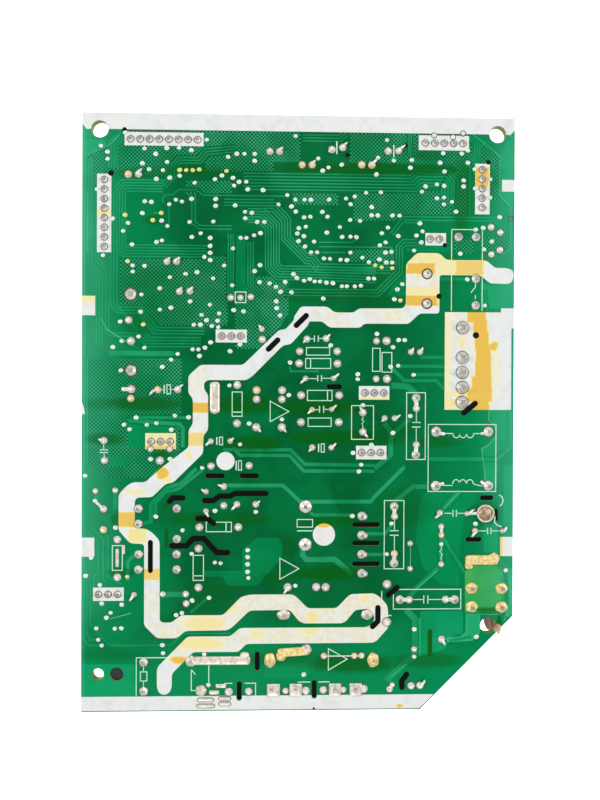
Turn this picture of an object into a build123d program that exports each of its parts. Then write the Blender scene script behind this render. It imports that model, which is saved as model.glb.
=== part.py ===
from build123d import *
import os
from math import sqrt

# Main control board of a split air conditioner, in millimetres.
# The board lies on its tallest parts with the soldered face up: +Z comes out of the soldered face,
# +X runs across the board, +Y along it, and the origin is the middle of the space it rests on.
# Places near an edge are stated from that edge; the rest are stated from the middle of the board.

# ---------------------------------------------------------------- driving dimensions
BOARD_WIDTH = 114.0
BOARD_LENGTH = 157.0
BOARD_THICKNESS = 1.6
CORNER_CUT = 24.7            # legs of the corner that is cut off
PARTS_HEIGHT = 20.0          # the tallest parts, from the board to the surface it rests on

TOP_HOLE_RADIUS = 2.2
TOP_HOLE_SPACING = 104.8
TOP_HOLE_FROM_TOP = 4.3
CORNER_HOLE_RADIUS = 1.55
POST_HOLE_RADIUS = 1.75
SIDE_HOLE_RADIUS = 2.1

DRILL_CLEARANCE = 0.06       # between the corners of a pin and its hole
SLOT_WIDTH = 1.3
LEAD_STAND_OUT = 1.2         # leads above the soldered face
LEAD_SIDE = 0.7              # section of the leads that carry mains current
STOUT_LEAD_SIDE = 0.95
WIRE_SIDE = 0.5              # section of the thin wires of the small parts

HEADER_PITCH = 2.5
HEADER_PIN = 0.64
HEADER_DEPTH = 5.75
HEADER_HEIGHT = 7.0
HEADER_WALL = 0.8
HEADER_FLOOR = 1.6
HEADER_END = 2.45            # from the last pin to the end of the housing
HEADER_BACK = 2.35           # from the pins to the plain long wall

POWER_PITCH = 3.96
POWER_PIN = 1.14
POWER_POSITIONS = 6
POWER_SKIPPED = 1            # this position is left without a pin
POWER_DEPTH = 9.5
POWER_BASE = 3.2
POWER_WALL = 1.3
POWER_HEIGHT = 11.0

CORE_LENGTH = 20.0           # transformer, along the board
CORE_DEPTH = 6.0
CORE_LIMB = 3.0              # each outer limb; the middle one is twice as wide
CORE_YOKE = 4.2
CORE_GAP = 0.3               # between the lower yoke and the board
BOBBIN_WALL = 0.8
BOBBIN_FLANGE = 1.0
TRANSFORMER_ROWS = 10.0      # between its two rows of pins
TRANSFORMER_PITCH = 4.0

CHOKE_WIDTH = 18.1
CHOKE_LENGTH = 17.8
CHOKE_LIMB = 4.4
CHOKE_CORE_DEPTH = 6.0
CHOKE_YOKE = 3.8
CHOKE_BASE = 2.0
CHOKE_WINDING = 1.2          # depth of the wire on the bobbin

BULK_RADIUS = 11.0
BULK_PITCH = 10.0

# ---------------------------------------------------------------- worked out from them
UNDERSIDE = PARTS_HEIGHT
SOLDER_FACE = UNDERSIDE + BOARD_THICKNESS
LEFT = -BOARD_WIDTH / 2
RIGHT = BOARD_WIDTH / 2
BOTTOM = -BOARD_LENGTH / 2
TOP = BOARD_LENGTH / 2


# ---------------------------------------------------------------- simple shapes
def block(x, y, width, length, low, high):
    """Upright block round the line x, y, from height low to high."""
    return Pos(x, y, (low + high) / 2) * Box(width, length, high - low)


def rod(x, y, radius, low, high):
    """Upright round rod."""
    return Pos(x, y, (low + high) / 2) * Cylinder(radius, high - low)


def turned(points):
    """Solid of revolution about Z from its (radius, height) outline."""
    outline = make_face(Plane.XZ * Polyline(*points, close=True))
    return revolve(outline, Axis.Z)


def faceted(radius, sides, low, high):
    """Upright round body drawn with flats, its radius measured to them."""
    outline = RegularPolygon(radius, sides, major_radius=False)
    return Pos(0, 0, low) * extrude(outline, high - low)


def milled(start, end):
    """Outline of a straight milled cut, its round ends drawn with flats."""
    run = Vector(end[0] - start[0], end[1] - start[1])
    middle = ((start[0] + end[0]) / 2, (start[1] + end[1]) / 2)
    cut = chamfer(Rectangle(run.length + SLOT_WIDTH, SLOT_WIDTH).vertices(), 0.29 * SLOT_WIDTH)
    return Pos(*middle) * Rot(0, 0, Vector(1, 0).get_signed_angle(run)) * cut


def along(direction, x, y):
    """Place whose local Y points along 'up', 'down', 'left' or 'right' on the board."""
    turns = {"up": 0, "left": 90, "down": 180, "right": -90}
    return Pos(x, y, 0) * Rot(0, 0, turns[direction])


# ---------------------------------------------------------------- leads and their holes
drilled = []                 # (x, y, radius) of every hole that a lead passes through
HOLE_SIDES = 8               # the many drilled holes are drawn with flats


def square_pin(x, y, side, low, stand_out=LEAD_STAND_OUT):
    """Square pin up through its own round hole."""
    drilled.append((x, y, side * sqrt(0.5) + DRILL_CLEARANCE))
    return block(x, y, side, side, low, SOLDER_FACE + stand_out)


def wire(x, y, low):
    """Thin wire up to the board, whose plated hole its solder fills."""
    return block(x, y, WIRE_SIDE, WIRE_SIDE, low, UNDERSIDE)


def pair(x, y, spacing, turn):
    """The two ends of a line of the given length and turn, centred on x, y."""
    half = Vector(spacing / 2, 0).rotate(Axis.Z, turn)
    return [(x - half.X, y - half.Y), (x + half.X, y + half.Y)]


# ---------------------------------------------------------------- wire-to-board headers
# letter, number of pins, middle of the pin row, side that its slotted wall faces
HEADERS = [
    ("a", 8, LEFT + 21.3, TOP - 6.8, "down"),
    ("b", 8, LEFT + 5.8, TOP - 26.25, "right"),
    ("c", 5, RIGHT - 18.9, TOP - 6.8, "down"),
    ("d", 5, RIGHT - 8.7, TOP - 18.7, "left"),
    ("e", 2, RIGHT - 21.3, TOP - 32.2, "up"),
    ("f", 3, -18.0, 20.3, "up"),
    ("g", 3, -36.4, -7.5, "up"),
    ("h", 3, LEFT + 7.0, -47.6, "up"),
    ("i", 3, 19.8, 5.5, "up"),
    ("j", 3, 19.0, -10.3, "down"),
]


def header_row(pins):
    """Offsets of the pins from the middle of their row."""
    return [HEADER_PITCH * (i - (pins - 1) / 2) for i in range(pins)]


def header_housing(pins, place):
    """Shrouded housing, open away from the board, with two key slots in its front wall."""
    length = HEADER_PITCH * (pins - 1) + 2 * HEADER_END
    front = HEADER_DEPTH - HEADER_BACK
    middle = (front - HEADER_BACK) / 2
    mouth = UNDERSIDE - HEADER_HEIGHT
    floor = UNDERSIDE - HEADER_FLOOR
    shell = block(0, middle, length, HEADER_DEPTH, mouth, UNDERSIDE)
    shell -= block(0, middle, length - 2 * HEADER_WALL, HEADER_DEPTH - 2 * HEADER_WALL, mouth, floor)
    key = HEADER_PITCH * (pins - 1) / 2
    for x in (-key, key):
        shell -= block(x, front - HEADER_WALL / 2, 1.0, HEADER_WALL, mouth, floor - 1.5)
    for x in header_row(pins):
        shell -= block(x, 0, HEADER_PIN, HEADER_PIN, floor, UNDERSIDE)
    return place * shell


def header_pins():
    """Every square pin of the small headers."""
    pins = []
    for _, count, x, y, facing in HEADERS:
        for offset in header_row(count):
            spot = along(facing, x, y) * Pos(offset, 0, 0)
            pins.append(square_pin(spot.position.X, spot.position.Y, HEADER_PIN,
                                   UNDERSIDE - HEADER_HEIGHT + 1.0))
    return pins


# ---------------------------------------------------------------- power header
POWER_X = RIGHT - 13.8
POWER_FIRST_Y = 22.9         # pin nearest the top; the row runs down from it


def power_rows():
    """Heights of the pins along the board, with the empty position left out."""
    return [POWER_FIRST_Y - POWER_PITCH * i for i in range(POWER_POSITIONS) if i != POWER_SKIPPED]


def power_header():
    """Open power header: a base, a tall locking wall with notches, and ribs between the pins."""
    length = POWER_PITCH * POWER_POSITIONS
    middle = POWER_FIRST_Y - POWER_PITCH * (POWER_POSITIONS - 1) / 2
    inner = POWER_X - 0.4 * POWER_DEPTH
    centre = inner + POWER_DEPTH / 2
    base = UNDERSIDE - POWER_BASE
    body = block(centre, middle, POWER_DEPTH, length, base, UNDERSIDE)
    wall_x = inner + POWER_DEPTH - POWER_WALL / 2
    body += block(wall_x, middle, POWER_WALL, length, UNDERSIDE - POWER_HEIGHT, base)
    for i in range(POWER_POSITIONS - 1):
        y = POWER_FIRST_Y - POWER_PITCH * (i + 0.5)
        body -= block(wall_x, y, POWER_WALL, 1.2, UNDERSIDE - POWER_HEIGHT, base - 2.5)
    for y in power_rows():
        body -= block(POWER_X, y, POWER_PIN, POWER_PIN, base, UNDERSIDE)
    return body


def power_header_pins():
    """Square power pins."""
    low = UNDERSIDE - POWER_HEIGHT + 0.8
    return [square_pin(POWER_X, y, POWER_PIN, low, 1.6) for y in power_rows()]


# ---------------------------------------------------------------- switching transformer
TRANSFORMER_X = LEFT + 19.9
TRANSFORMER_Y = -33.1
LEFT_STATIONS = (2, 1, -1, -2)      # pin stations along each row; one is left out of each
RIGHT_STATIONS = (2, 0, -1, -2)


def limb_core(length, depth, limb, middle_limb, yoke, low, high, yoke_low):
    """Half core: a yoke and its limbs; middle_limb of 0 leaves a U."""
    yoke_span = (low, low + yoke) if yoke_low else (high - yoke, high)
    half = block(0, 0, depth, length, *yoke_span)
    reach = (length - limb) / 2
    for y in (-reach, reach):
        half += block(0, y, depth, limb, low, high)
    if middle_limb:
        half += block(0, 0, depth, middle_limb, low, high)
    return half


def transformer():
    """Upper and lower core half, bobbin and winding of the transformer."""
    place = Pos(TRANSFORMER_X, TRANSFORMER_Y, 0)
    core_top = UNDERSIDE - CORE_GAP
    split = core_top / 2
    lower_flange = core_top - CORE_YOKE - BOBBIN_FLANGE
    upper_flange = CORE_YOKE + BOBBIN_FLANGE
    resting = limb_core(CORE_LENGTH, CORE_DEPTH, CORE_LIMB, 2 * CORE_LIMB, CORE_YOKE, 0, split, True)
    board_side = limb_core(CORE_LENGTH, CORE_DEPTH, CORE_LIMB, 2 * CORE_LIMB, CORE_YOKE,
                           split, core_top, False)
    tube_x = CORE_DEPTH + 2 * BOBBIN_WALL
    tube_y = 2 * CORE_LIMB + 2 * BOBBIN_WALL
    window = CORE_LENGTH - 2 * CORE_LIMB - 0.4
    flange_x = 15.4
    bobbin = block(0, 0, flange_x, window, CORE_YOKE, upper_flange)
    bobbin += block(0, 0, tube_x, tube_y, upper_flange, lower_flange)
    bobbin += block(0, 0, flange_x, window, lower_flange, lower_flange + BOBBIN_FLANGE)
    rail_inner = CORE_DEPTH / 2 + 0.4
    rail_width = 2 * (TRANSFORMER_ROWS / 2 - rail_inner)
    rail_length = 4 * TRANSFORMER_PITCH + 5.0
    for x in (-TRANSFORMER_ROWS / 2, TRANSFORMER_ROWS / 2):
        bobbin += block(x, 0, rail_width, rail_length, lower_flange + BOBBIN_FLANGE, UNDERSIDE)
    bobbin -= block(0, 0, CORE_DEPTH, 2 * CORE_LIMB, CORE_YOKE, core_top - CORE_YOKE)
    wound = Rectangle(flange_x - 1.0, window - 0.8)
    wound = chamfer(wound.vertices(), 1.4) - Rectangle(tube_x, tube_y)
    winding = extrude(wound, lower_flange - upper_flange).moved(Pos(0, 0, upper_flange))
    return [place * piece for piece in (resting, board_side, bobbin, winding)]


def transformer_pins():
    """Leads of the transformer, from its rails up through the board."""
    pins = []
    for side, stations in ((-1, LEFT_STATIONS), (1, RIGHT_STATIONS)):
        x = TRANSFORMER_X + side * TRANSFORMER_ROWS / 2
        for station in stations:
            y = TRANSFORMER_Y + station * TRANSFORMER_PITCH
            pins.append(square_pin(x, y, LEAD_SIDE, UNDERSIDE))
    return pins


# ---------------------------------------------------------------- mains choke
CHOKE_X = RIGHT - 13.7
CHOKE_Y = -11.9
CHOKE_PIN_X = 7.0
CHOKE_PIN_Y = 7.2


def choke():
    """Upper and lower core half, bobbin with its base, and two windings of the mains choke."""
    place = Pos(CHOKE_X, CHOKE_Y, 0)
    base_low = UNDERSIDE - CHOKE_BASE
    limb_y = CHOKE_LIMB
    core_length = 3 * CHOKE_LIMB
    split = base_low / 2
    upper = limb_core(core_length, CHOKE_CORE_DEPTH, CHOKE_LIMB, 0, CHOKE_YOKE, 0, split, True)
    lower = limb_core(core_length, CHOKE_CORE_DEPTH, CHOKE_LIMB, 0, CHOKE_YOKE, split, base_low, False)
    flange_a = CHOKE_YOKE + BOBBIN_FLANGE
    flange_b = base_low - CHOKE_YOKE - BOBBIN_FLANGE
    bobbin = block(0, 0, CHOKE_WIDTH - 3, CHOKE_LENGTH, CHOKE_YOKE, flange_a)
    bobbin += block(0, 0, CHOKE_WIDTH - 3, CHOKE_LENGTH, flange_b, flange_b + BOBBIN_FLANGE)
    bobbin += block(0, 0, CHOKE_WIDTH, CHOKE_LENGTH, base_low, UNDERSIDE)
    post = (CHOKE_WIDTH - 3 - CHOKE_CORE_DEPTH) / 2 - 0.3
    post_x = CHOKE_CORE_DEPTH / 2 + 0.3 + post / 2
    for x in (-post_x, post_x):
        bobbin += block(x, 0, post, CHOKE_LENGTH - 4, flange_b + BOBBIN_FLANGE, base_low)
    tube_x = CHOKE_CORE_DEPTH + 2 * BOBBIN_WALL
    tube_y = CHOKE_LIMB + 2 * BOBBIN_WALL
    windings = []
    for y in (-limb_y, limb_y):
        bobbin += block(0, y, tube_x, tube_y, flange_a, flange_b)
        wound = Rectangle(tube_x + 2 * CHOKE_WINDING, tube_y + 2 * CHOKE_WINDING)
        wound = chamfer(wound.vertices(), 0.9) - Rectangle(tube_x, tube_y)
        windings.append(extrude(wound, flange_b - flange_a).moved(Pos(0, y, flange_a)))
    for y in (-limb_y, limb_y):
        bobbin -= block(0, y, CHOKE_CORE_DEPTH, CHOKE_LIMB, CHOKE_YOKE, base_low - CHOKE_YOKE)
    return [place * upper, place * lower, place * bobbin, [place * w for w in windings]]


def choke_pins():
    """Four leads at the corners of the choke's base."""
    return [square_pin(CHOKE_X + x, CHOKE_Y + y, STOUT_LEAD_SIDE, UNDERSIDE)
            for x in (-CHOKE_PIN_X, CHOKE_PIN_X) for y in (-CHOKE_PIN_Y, CHOKE_PIN_Y)]


# ---------------------------------------------------------------- capacitors
BULK_X = 1.7
BULK_Y = -29.6
# x, y of the middle, length, width, height, True where it runs along the board, lead spacing
FILM_CAPACITORS = [
    ("a", RIGHT - 26.1, -3.3, 17.7, 5.0, 11.0, True, 15.0),
    ("b", RIGHT - 31.8, -32.1, 18.1, 5.2, 11.0, True, 15.0),
    ("c", RIGHT - 22.9, -49.3, 18.0, 5.2, 11.0, False, 14.6),
    ("d", 6.1, BOTTOM + 13.3, 31.4, 11.0, 19.0, False, 27.4),
    ("e", 33.7, 33.15, 10.6, 5.0, 9.0, True, 7.9),
]
# x, y of the middle, lead spacing, turn of the line through the leads
SMALL_ELECTROLYTICS = [
    (LEFT + 13.3, TOP - 16.05, 2.6, 2),
    (-6.75, TOP - 9.6, 2.5, 0),
    (1.8, TOP - 13.0, 2.6, 0),
    (17.55, TOP - 12.8, 2.7, 0),
    (-33.65, 39.75, 2.5, 2),
    (-30.25, 31.95, 2.7, 2),
    (LEFT + 12.85, 5.0, 2.4, 90),
]
FILTER_ELECTROLYTICS = [
    (-34.6, 6.15, 5.2, 0),
    (-20.75, -7.35, 5.1, 0),
    (5.95, -9.0, 5.1, 0),
    (LEFT + 5.9, -9.9, 5.2, 90),
]


def electrolytic(x, y, radius, height):
    """Sleeved can, closed end away from the board, narrower where its seal is rolled in."""
    neck = UNDERSIDE - 0.12 * height
    can = faceted(radius, 16, UNDERSIDE - height, neck)
    return Pos(x, y, 0) * (can + faceted(0.93 * radius, 16, neck, UNDERSIDE))


def bulk_capacitor(x, y, radius, height):
    """Large can that the board rests on, with its rolled groove and a recessed, rimmed end."""
    low = UNDERSIDE - height
    groove = UNDERSIDE - 3.0
    outline = [(0, low + 0.5), (radius - 1.2, low + 0.5), (radius - 1.2, low), (radius, low),
               (radius, groove - 0.8), (radius - 0.7, groove), (radius, groove + 0.8),
               (radius, UNDERSIDE), (0, UNDERSIDE)]
    return Pos(x, y, 0) * turned(outline)


def film_capacitor(x, y, length, width, height, upright):
    """Potted box with rounded upright edges and a shallow recess inside its rim on the board side."""
    size = (width, length) if upright else (length, width)
    body = block(x, y, *size, UNDERSIDE - height, UNDERSIDE)
    body = chamfer(body.edges().filter_by(Axis.Z), 0.5)
    return body - block(x, y, size[0] - 1.6, size[1] - 1.6, UNDERSIDE - 0.4, UNDERSIDE)


def capacitor_leads():
    """Leads of the bulk and film capacitors, through the board."""
    leads = [square_pin(*end, STOUT_LEAD_SIDE, UNDERSIDE) for end in pair(BULK_X, BULK_Y, BULK_PITCH, 90)]
    for _, x, y, _, _, _, upright, spacing in FILM_CAPACITORS:
        for end in pair(x, y, spacing, 90 if upright else 0):
            leads.append(square_pin(*end, LEAD_SIDE, UNDERSIDE - 0.4))
    return leads


# ---------------------------------------------------------------- discs and dipped parts
STAND_OFF = 1.5              # crimped leads hold these parts this far from the board
DISC_SIDES = 24              # a flat lies towards the board
# x, y of the middle, radius, thickness, lead spacing, turn of the line through the leads
SURGE_VARISTOR = (RIGHT - 33.6, -50.2, 7.0, 3.2, 10.0, 90)
INRUSH_THERMISTOR = (2.15, -45.9, 6.0, 4.6, 9.9, 0)
DISC_THERMISTOR = (16.8, -2.25, 4.4, 3.6, 5.1, 90)
SAFETY_CAPACITORS = [
    (-11.3, 0.0, 4.3, 3.6, 7.4, 90),
    (-4.6, 0.0, 4.3, 3.6, 7.4, 90),
    (-39.35, -47.6, 4.3, 3.4, 7.3, 0),
    (RIGHT - 15.65, -26.4, 4.2, 3.4, 7.3, 0),
    (RIGHT - 6.5, -31.1, 4.2, 3.4, 7.4, 0),
    (-15.65, BOTTOM + 5.2, 3.7, 3.2, 5.1, 0),
    (4.3, BOTTOM + 5.3, 3.7, 3.2, 4.6, 0),
]
EDGE_DISC = (RIGHT - 3.0, -56.5, 3.4, 3.0, 5.0, 90)
# x, y of the middle, length, thickness, height, lead spacing, turn
CERAMIC_CAPACITORS = [
    (9.75, TOP - 8.6, 4.4, 2.4, 5.0, 2.9, 12),
    (24.6, TOP - 9.05, 4.4, 2.4, 5.0, 2.8, 0),
    (4.45, 19.7, 6.4, 2.4, 5.6, 5.1, 0),
    (5.3, 9.25, 8.6, 2.4, 6.0, 7.4, 0),
    (5.9, 1.05, 6.4, 2.4, 5.6, 5.2, 0),
    (23.9, -1.2, 4.4, 2.4, 5.0, 2.6, 0),
    (30.7, 16.4, 4.4, 2.4, 5.0, 2.4, 0),
    (-24.5, -23.2, 6.2, 2.6, 6.0, 5.2, 90),
    (-19.8, -21.8, 6.2, 2.6, 6.0, 5.0, 90),
    (-13.9, -24.0, 6.2, 2.6, 6.0, 5.0, 0),
    (LEFT + 6.25, -20.4, 6.2, 2.6, 6.0, 5.1, 2),
    (-29.65, -48.8, 4.2, 2.4, 5.0, 2.6, 90),
    (31.1, BOTTOM + 6.3, 4.4, 2.4, 5.0, 2.4, 0),
]


def coated_disc(x, y, radius, thickness, _, turn):
    """Disc standing on edge, held off the board by its leads."""
    place = Pos(x, y, UNDERSIDE - STAND_OFF - radius) * Rot(0, 0, turn) * Rot(90, 0, 0)
    disc = Rot(0, 0, 180 / DISC_SIDES) * faceted(radius, DISC_SIDES, -thickness / 2, thickness / 2)
    return place * disc


def dipped_block(x, y, length, thickness, height, _, turn):
    """Small dipped capacitor: an upright pad with bevelled edges."""
    body = Box(length, thickness, height)
    body = chamfer(body.edges().filter_by(Axis.Y), 0.8)
    return Pos(x, y, UNDERSIDE - STAND_OFF - height / 2) * Rot(0, 0, turn) * body


def legs(body, ends, low):
    """Wires from the edge of a body up to the board."""
    return [block(*end, WIRE_SIDE, WIRE_SIDE, low, UNDERSIDE) - body for end in ends]


def disc_legs(disc):
    """Both leads of a coated disc."""
    x, y, radius, _, spacing, turn = disc
    return legs(coated_disc(*disc), pair(x, y, spacing, turn), UNDERSIDE - STAND_OFF - radius)


def dipped_legs(part):
    """Both leads of a small dipped capacitor."""
    x, y, _, _, _, spacing, turn = part
    return legs(dipped_block(*part), pair(x, y, spacing, turn), UNDERSIDE - STAND_OFF - 1.0)


# ---------------------------------------------------------------- axial parts
# x, y of the middle, lead spacing, turn, body length, body radius
RESISTORS = [
    (4.95, 16.4, 9.9, 0, 6.1, 1.1),
    (5.4, -2.3, 10.0, 0, 6.1, 1.1),
    (20.3, 14.2, 10.0, 90, 6.1, 0.95),
    (RIGHT - 19.2, -34.9, 10.0, 90, 6.3, 1.5),
]
DIODES = [
    (4.95, 13.2, 10.1, 0, 6.6, 1.2),
    (5.45, 4.8, 10.1, 0, 6.5, 1.3),
    (23.05, 14.25, 10.1, 90, 5.2, 1.3),
    (-16.4, 2.35, 10.1, 90, 6.4, 1.3),
    (-18.2, -13.85, 10.0, 0, 6.6, 1.3),
    (-21.1, -30.0, 10.2, 0, 6.6, 1.3),
    (-26.45, -40.75, 10.3, 90, 6.6, 1.3),
    (LEFT + 9.4, -38.15, 9.9, 90, 6.5, 1.3),
]
JUMPERS = [
    (-22.3, 4.0, 6.6, 90),
    (RIGHT - 27.5, -37.75, 6.7, 90),
]
WIRE_RADIUS = 0.3


def axial_body(x, y, _, turn, length, radius):
    """Round body lying against the board."""
    body = Rot(0, 0, 15) * faceted(radius, 12, -length / 2, length / 2)
    return Pos(x, y, UNDERSIDE - radius) * Rot(0, 0, turn) * Rot(0, 90, 0) * body


def bent_wires(x, y, spacing, turn, length, radius):
    """Wire from each end of an axial body, bent up to the board."""
    wires = []
    for end in (-1, 1):
        reach = spacing / 2
        level = UNDERSIDE - radius
        run = block(end * (length / 2 + reach) / 2, 0, reach - length / 2, WIRE_SIDE,
                    level - WIRE_SIDE / 2, level + WIRE_SIDE / 2)
        run += block(end * reach, 0, WIRE_SIDE, WIRE_SIDE, level - WIRE_SIDE / 2, UNDERSIDE)
        wires.append(Pos(x, y, 0) * Rot(0, 0, turn) * run)
    return wires


def jumper(x, y, spacing, turn):
    """Bare link lying close to the board, with both ends bent up to it."""
    link = block(0, 0, spacing, WIRE_SIDE, UNDERSIDE - 1.0, UNDERSIDE - 1.0 + WIRE_SIDE)
    for end in (-spacing / 2, spacing / 2):
        link += block(end, 0, WIRE_SIDE, WIRE_SIDE, UNDERSIDE - 1.0, UNDERSIDE)
    return Pos(x, y, 0) * Rot(0, 0, turn) * link


# ---------------------------------------------------------------- bridge rectifier
BRIDGE_X = 16.6
BRIDGE_FIRST_Y = -27.1
BRIDGE_PITCH = 5.05
BRIDGE_THICKNESS = 3.6
BRIDGE_HEIGHT = 17.0


def bridge_rectifier():
    """Flat moulded body with one bevelled corner, a screw hole and four leads in line."""
    middle = BRIDGE_FIRST_Y - 1.5 * BRIDGE_PITCH
    length = 3 * BRIDGE_PITCH + 6.8
    low = UNDERSIDE - BRIDGE_HEIGHT - 1.6
    body = block(BRIDGE_X, middle, BRIDGE_THICKNESS, length, low, UNDERSIDE - 1.6)
    corner = body.edges().filter_by(Axis.X).sort_by(Axis.Z)[:2].sort_by(Axis.Y)[-1]
    body = chamfer(corner, 3.0)
    hole = Pos(BRIDGE_X, middle, low + 4.5) * Rot(0, 90, 0) * Cylinder(1.6, BRIDGE_THICKNESS)
    leads = [square_pin(BRIDGE_X, BRIDGE_FIRST_Y - BRIDGE_PITCH * i, LEAD_SIDE, UNDERSIDE - 1.6)
             for i in range(4)]
    return body - hole, leads


# ---------------------------------------------------------------- relays
MAIN_RELAY = (LEFT + 24.25, BOTTOM + 8.1, 20.5, 12.7, 15.7)
MAIN_RELAY_PINS = [(LEFT + 16.35, BOTTOM + 13.0), (LEFT + 16.35, BOTTOM + 5.4),
                   (LEFT + 28.7, BOTTOM + 13.2), (LEFT + 31.4, BOTTOM + 5.5)]
SLIM_RELAY = (RIGHT - 13.1, TOP - 40.9, 7.2, 20.5, 15.3)
SLIM_RELAY_PINS = [(RIGHT - 15.0, TOP - 31.6), (RIGHT - 10.3, TOP - 31.6),
                   (RIGHT - 10.3, TOP - 42.6), (RIGHT - 10.3, TOP - 49.7)]


def relay(x, y, width, length, height):
    """Moulded cover with bevelled shoulders over a slightly wider base."""
    base = UNDERSIDE - 1.4
    cover = block(x, y, width - 0.4, length - 0.4, UNDERSIDE - height, base)
    cover = chamfer(cover.faces().sort_by(Axis.Z)[0].edges(), 0.6)
    return cover + block(x, y, width, length, base, UNDERSIDE)


# ---------------------------------------------------------------- fuse
FUSE_Y = -53.2
FUSE_ENDS = (-3.9, 18.0)
FUSE_TUBE_RADIUS = 2.25
FUSE_CAP_RADIUS = 2.6
FUSE_LENGTH = 20.0
FUSE_CAP_LENGTH = 5.0
FUSE_DROP = 6.0              # from the board to the middle of the fuse
CLIP_METAL = 0.5


def fuse():
    """Glass tube, its two end caps and the two sprung clips that hold them."""
    middle = sum(FUSE_ENDS) / 2
    axis = Pos(middle, FUSE_Y, UNDERSIDE - FUSE_DROP) * Rot(0, 90, 0)
    inner = FUSE_LENGTH / 2 - FUSE_CAP_LENGTH
    tube = axis * Cylinder(FUSE_TUBE_RADIUS, FUSE_LENGTH - 1.0)
    caps = []
    clips = []
    for end, pin_x in zip((-1, 1), FUSE_ENDS):
        offset = end * (inner + FUSE_CAP_LENGTH / 2)
        cap = Cylinder(FUSE_CAP_RADIUS, FUSE_CAP_LENGTH)
        cap -= Pos(0, 0, -end * 0.5) * Cylinder(FUSE_TUBE_RADIUS, FUSE_CAP_LENGTH)
        caps.append(axis * Pos(0, 0, offset) * cap)
        clips.append(fuse_clip(middle + offset) + square_pin(pin_x, FUSE_Y, STOUT_LEAD_SIDE, UNDERSIDE))
    return tube, caps, clips


def fuse_clip(x):
    """Bent strip: a base on the board and two jaws that grip the cap."""
    width = FUSE_CAP_LENGTH - 1.0
    jaw = FUSE_CAP_RADIUS + CLIP_METAL
    clip = block(x, FUSE_Y, width, 2 * jaw, UNDERSIDE - CLIP_METAL, UNDERSIDE)
    for side in (-1, 1):
        clip += block(x, FUSE_Y + side * (FUSE_CAP_RADIUS + CLIP_METAL / 2), width, CLIP_METAL,
                      UNDERSIDE - FUSE_DROP - 2.2, UNDERSIDE)
    return clip


# ---------------------------------------------------------------- terminals on the bottom edge
TABS = ((-3.9, 6.4), (12.35, 5.5))       # middle of each tab and the spacing of its two legs
TAB_Y = BOTTOM + 5.5
TAB_METAL = 0.8
TAB_BLADE = 6.3
TAB_HEIGHT = 13.0


def tab_terminal(x, spacing):
    """Blade with a tapered tip and a latch hole, on a crosspiece with two legs."""
    leg = 1.0
    outline = [(-spacing / 2 - leg / 2, -LEAD_STAND_OUT - BOARD_THICKNESS), (-spacing / 2 - leg / 2, 2.5),
               (-TAB_BLADE / 2, 3.5), (-TAB_BLADE / 2, TAB_HEIGHT - 1.5), (-1.8, TAB_HEIGHT),
               (1.8, TAB_HEIGHT), (TAB_BLADE / 2, TAB_HEIGHT - 1.5), (TAB_BLADE / 2, 3.5),
               (spacing / 2 + leg / 2, 2.5), (spacing / 2 + leg / 2, -LEAD_STAND_OUT - BOARD_THICKNESS),
               (spacing / 2 - leg / 2, -LEAD_STAND_OUT - BOARD_THICKNESS), (spacing / 2 - leg / 2, 0),
               (-spacing / 2 + leg / 2, 0), (-spacing / 2 + leg / 2, -LEAD_STAND_OUT - BOARD_THICKNESS)]
    for side in (-1, 1):
        drilled.append((x + side * spacing / 2, TAB_Y, sqrt(leg ** 2 + TAB_METAL ** 2) / 2 + DRILL_CLEARANCE))
    plate = extrude(make_face(Polyline(*outline, close=True)), TAB_METAL / 2, both=True)
    plate -= Pos(0, TAB_HEIGHT - 4.0, 0) * Cylinder(0.85, TAB_METAL)
    return Pos(x, TAB_Y, UNDERSIDE) * Rot(-90, 0, 0) * plate


EARTH_X = RIGHT - 7.0
EARTH_Y = -48.8
EARTH_SPAN = (8.0, 5.0)      # between its four legs
EARTH_TOP = 8.0              # from the board to its clamping face
SCREW_RADIUS = 1.5


def earth_terminal():
    """Bridge of bent plate on four legs, with a screw hole in its clamping face."""
    width = EARTH_SPAN[0] + 0.9
    length = EARTH_SPAN[1] + 0.9
    low = UNDERSIDE - EARTH_TOP
    body = block(EARTH_X, EARTH_Y, width, length, low, low + 1.0)
    for x in (-EARTH_SPAN[0] / 2, EARTH_SPAN[0] / 2):
        body += block(EARTH_X + x, EARTH_Y, 0.9, length, low, UNDERSIDE - 1.0)
        for y in (-EARTH_SPAN[1] / 2, EARTH_SPAN[1] / 2):
            body += square_pin(EARTH_X + x, EARTH_Y + y, 0.9, UNDERSIDE - 1.5)
    return body - rod(EARTH_X, EARTH_Y, SCREW_RADIUS, low, low + 1.0)


def screw(place, grip, shank):
    """Pan-head screw whose head seats at the origin of its place, with a crossed recess."""
    body = faceted(2 * SCREW_RADIUS, 24, -2.0, 0)
    for turn in (0, 90):
        body -= Pos(0, 0, -1.5) * Rot(0, 0, turn) * Box(3.2, 0.7, 1.0)
    body += faceted(SCREW_RADIUS, 24, 0, grip + shank)
    return place * body


EYELET_X = RIGHT - 7.5
EYELET_Y = -26.4
EYELET_RADIUS = 1.5
EYELET_RIM = 2.3


def earth_eyelet():
    """Rolled eyelet: a tube through the board with a rim on both faces."""
    bore = EYELET_RADIUS - 0.35
    outline = [(bore, UNDERSIDE - 0.3), (EYELET_RIM, UNDERSIDE), (EYELET_RADIUS, UNDERSIDE),
               (EYELET_RADIUS, SOLDER_FACE), (EYELET_RIM, SOLDER_FACE), (bore, SOLDER_FACE + 0.4)]
    return Pos(EYELET_X, EYELET_Y, 0) * turned(outline)


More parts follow.
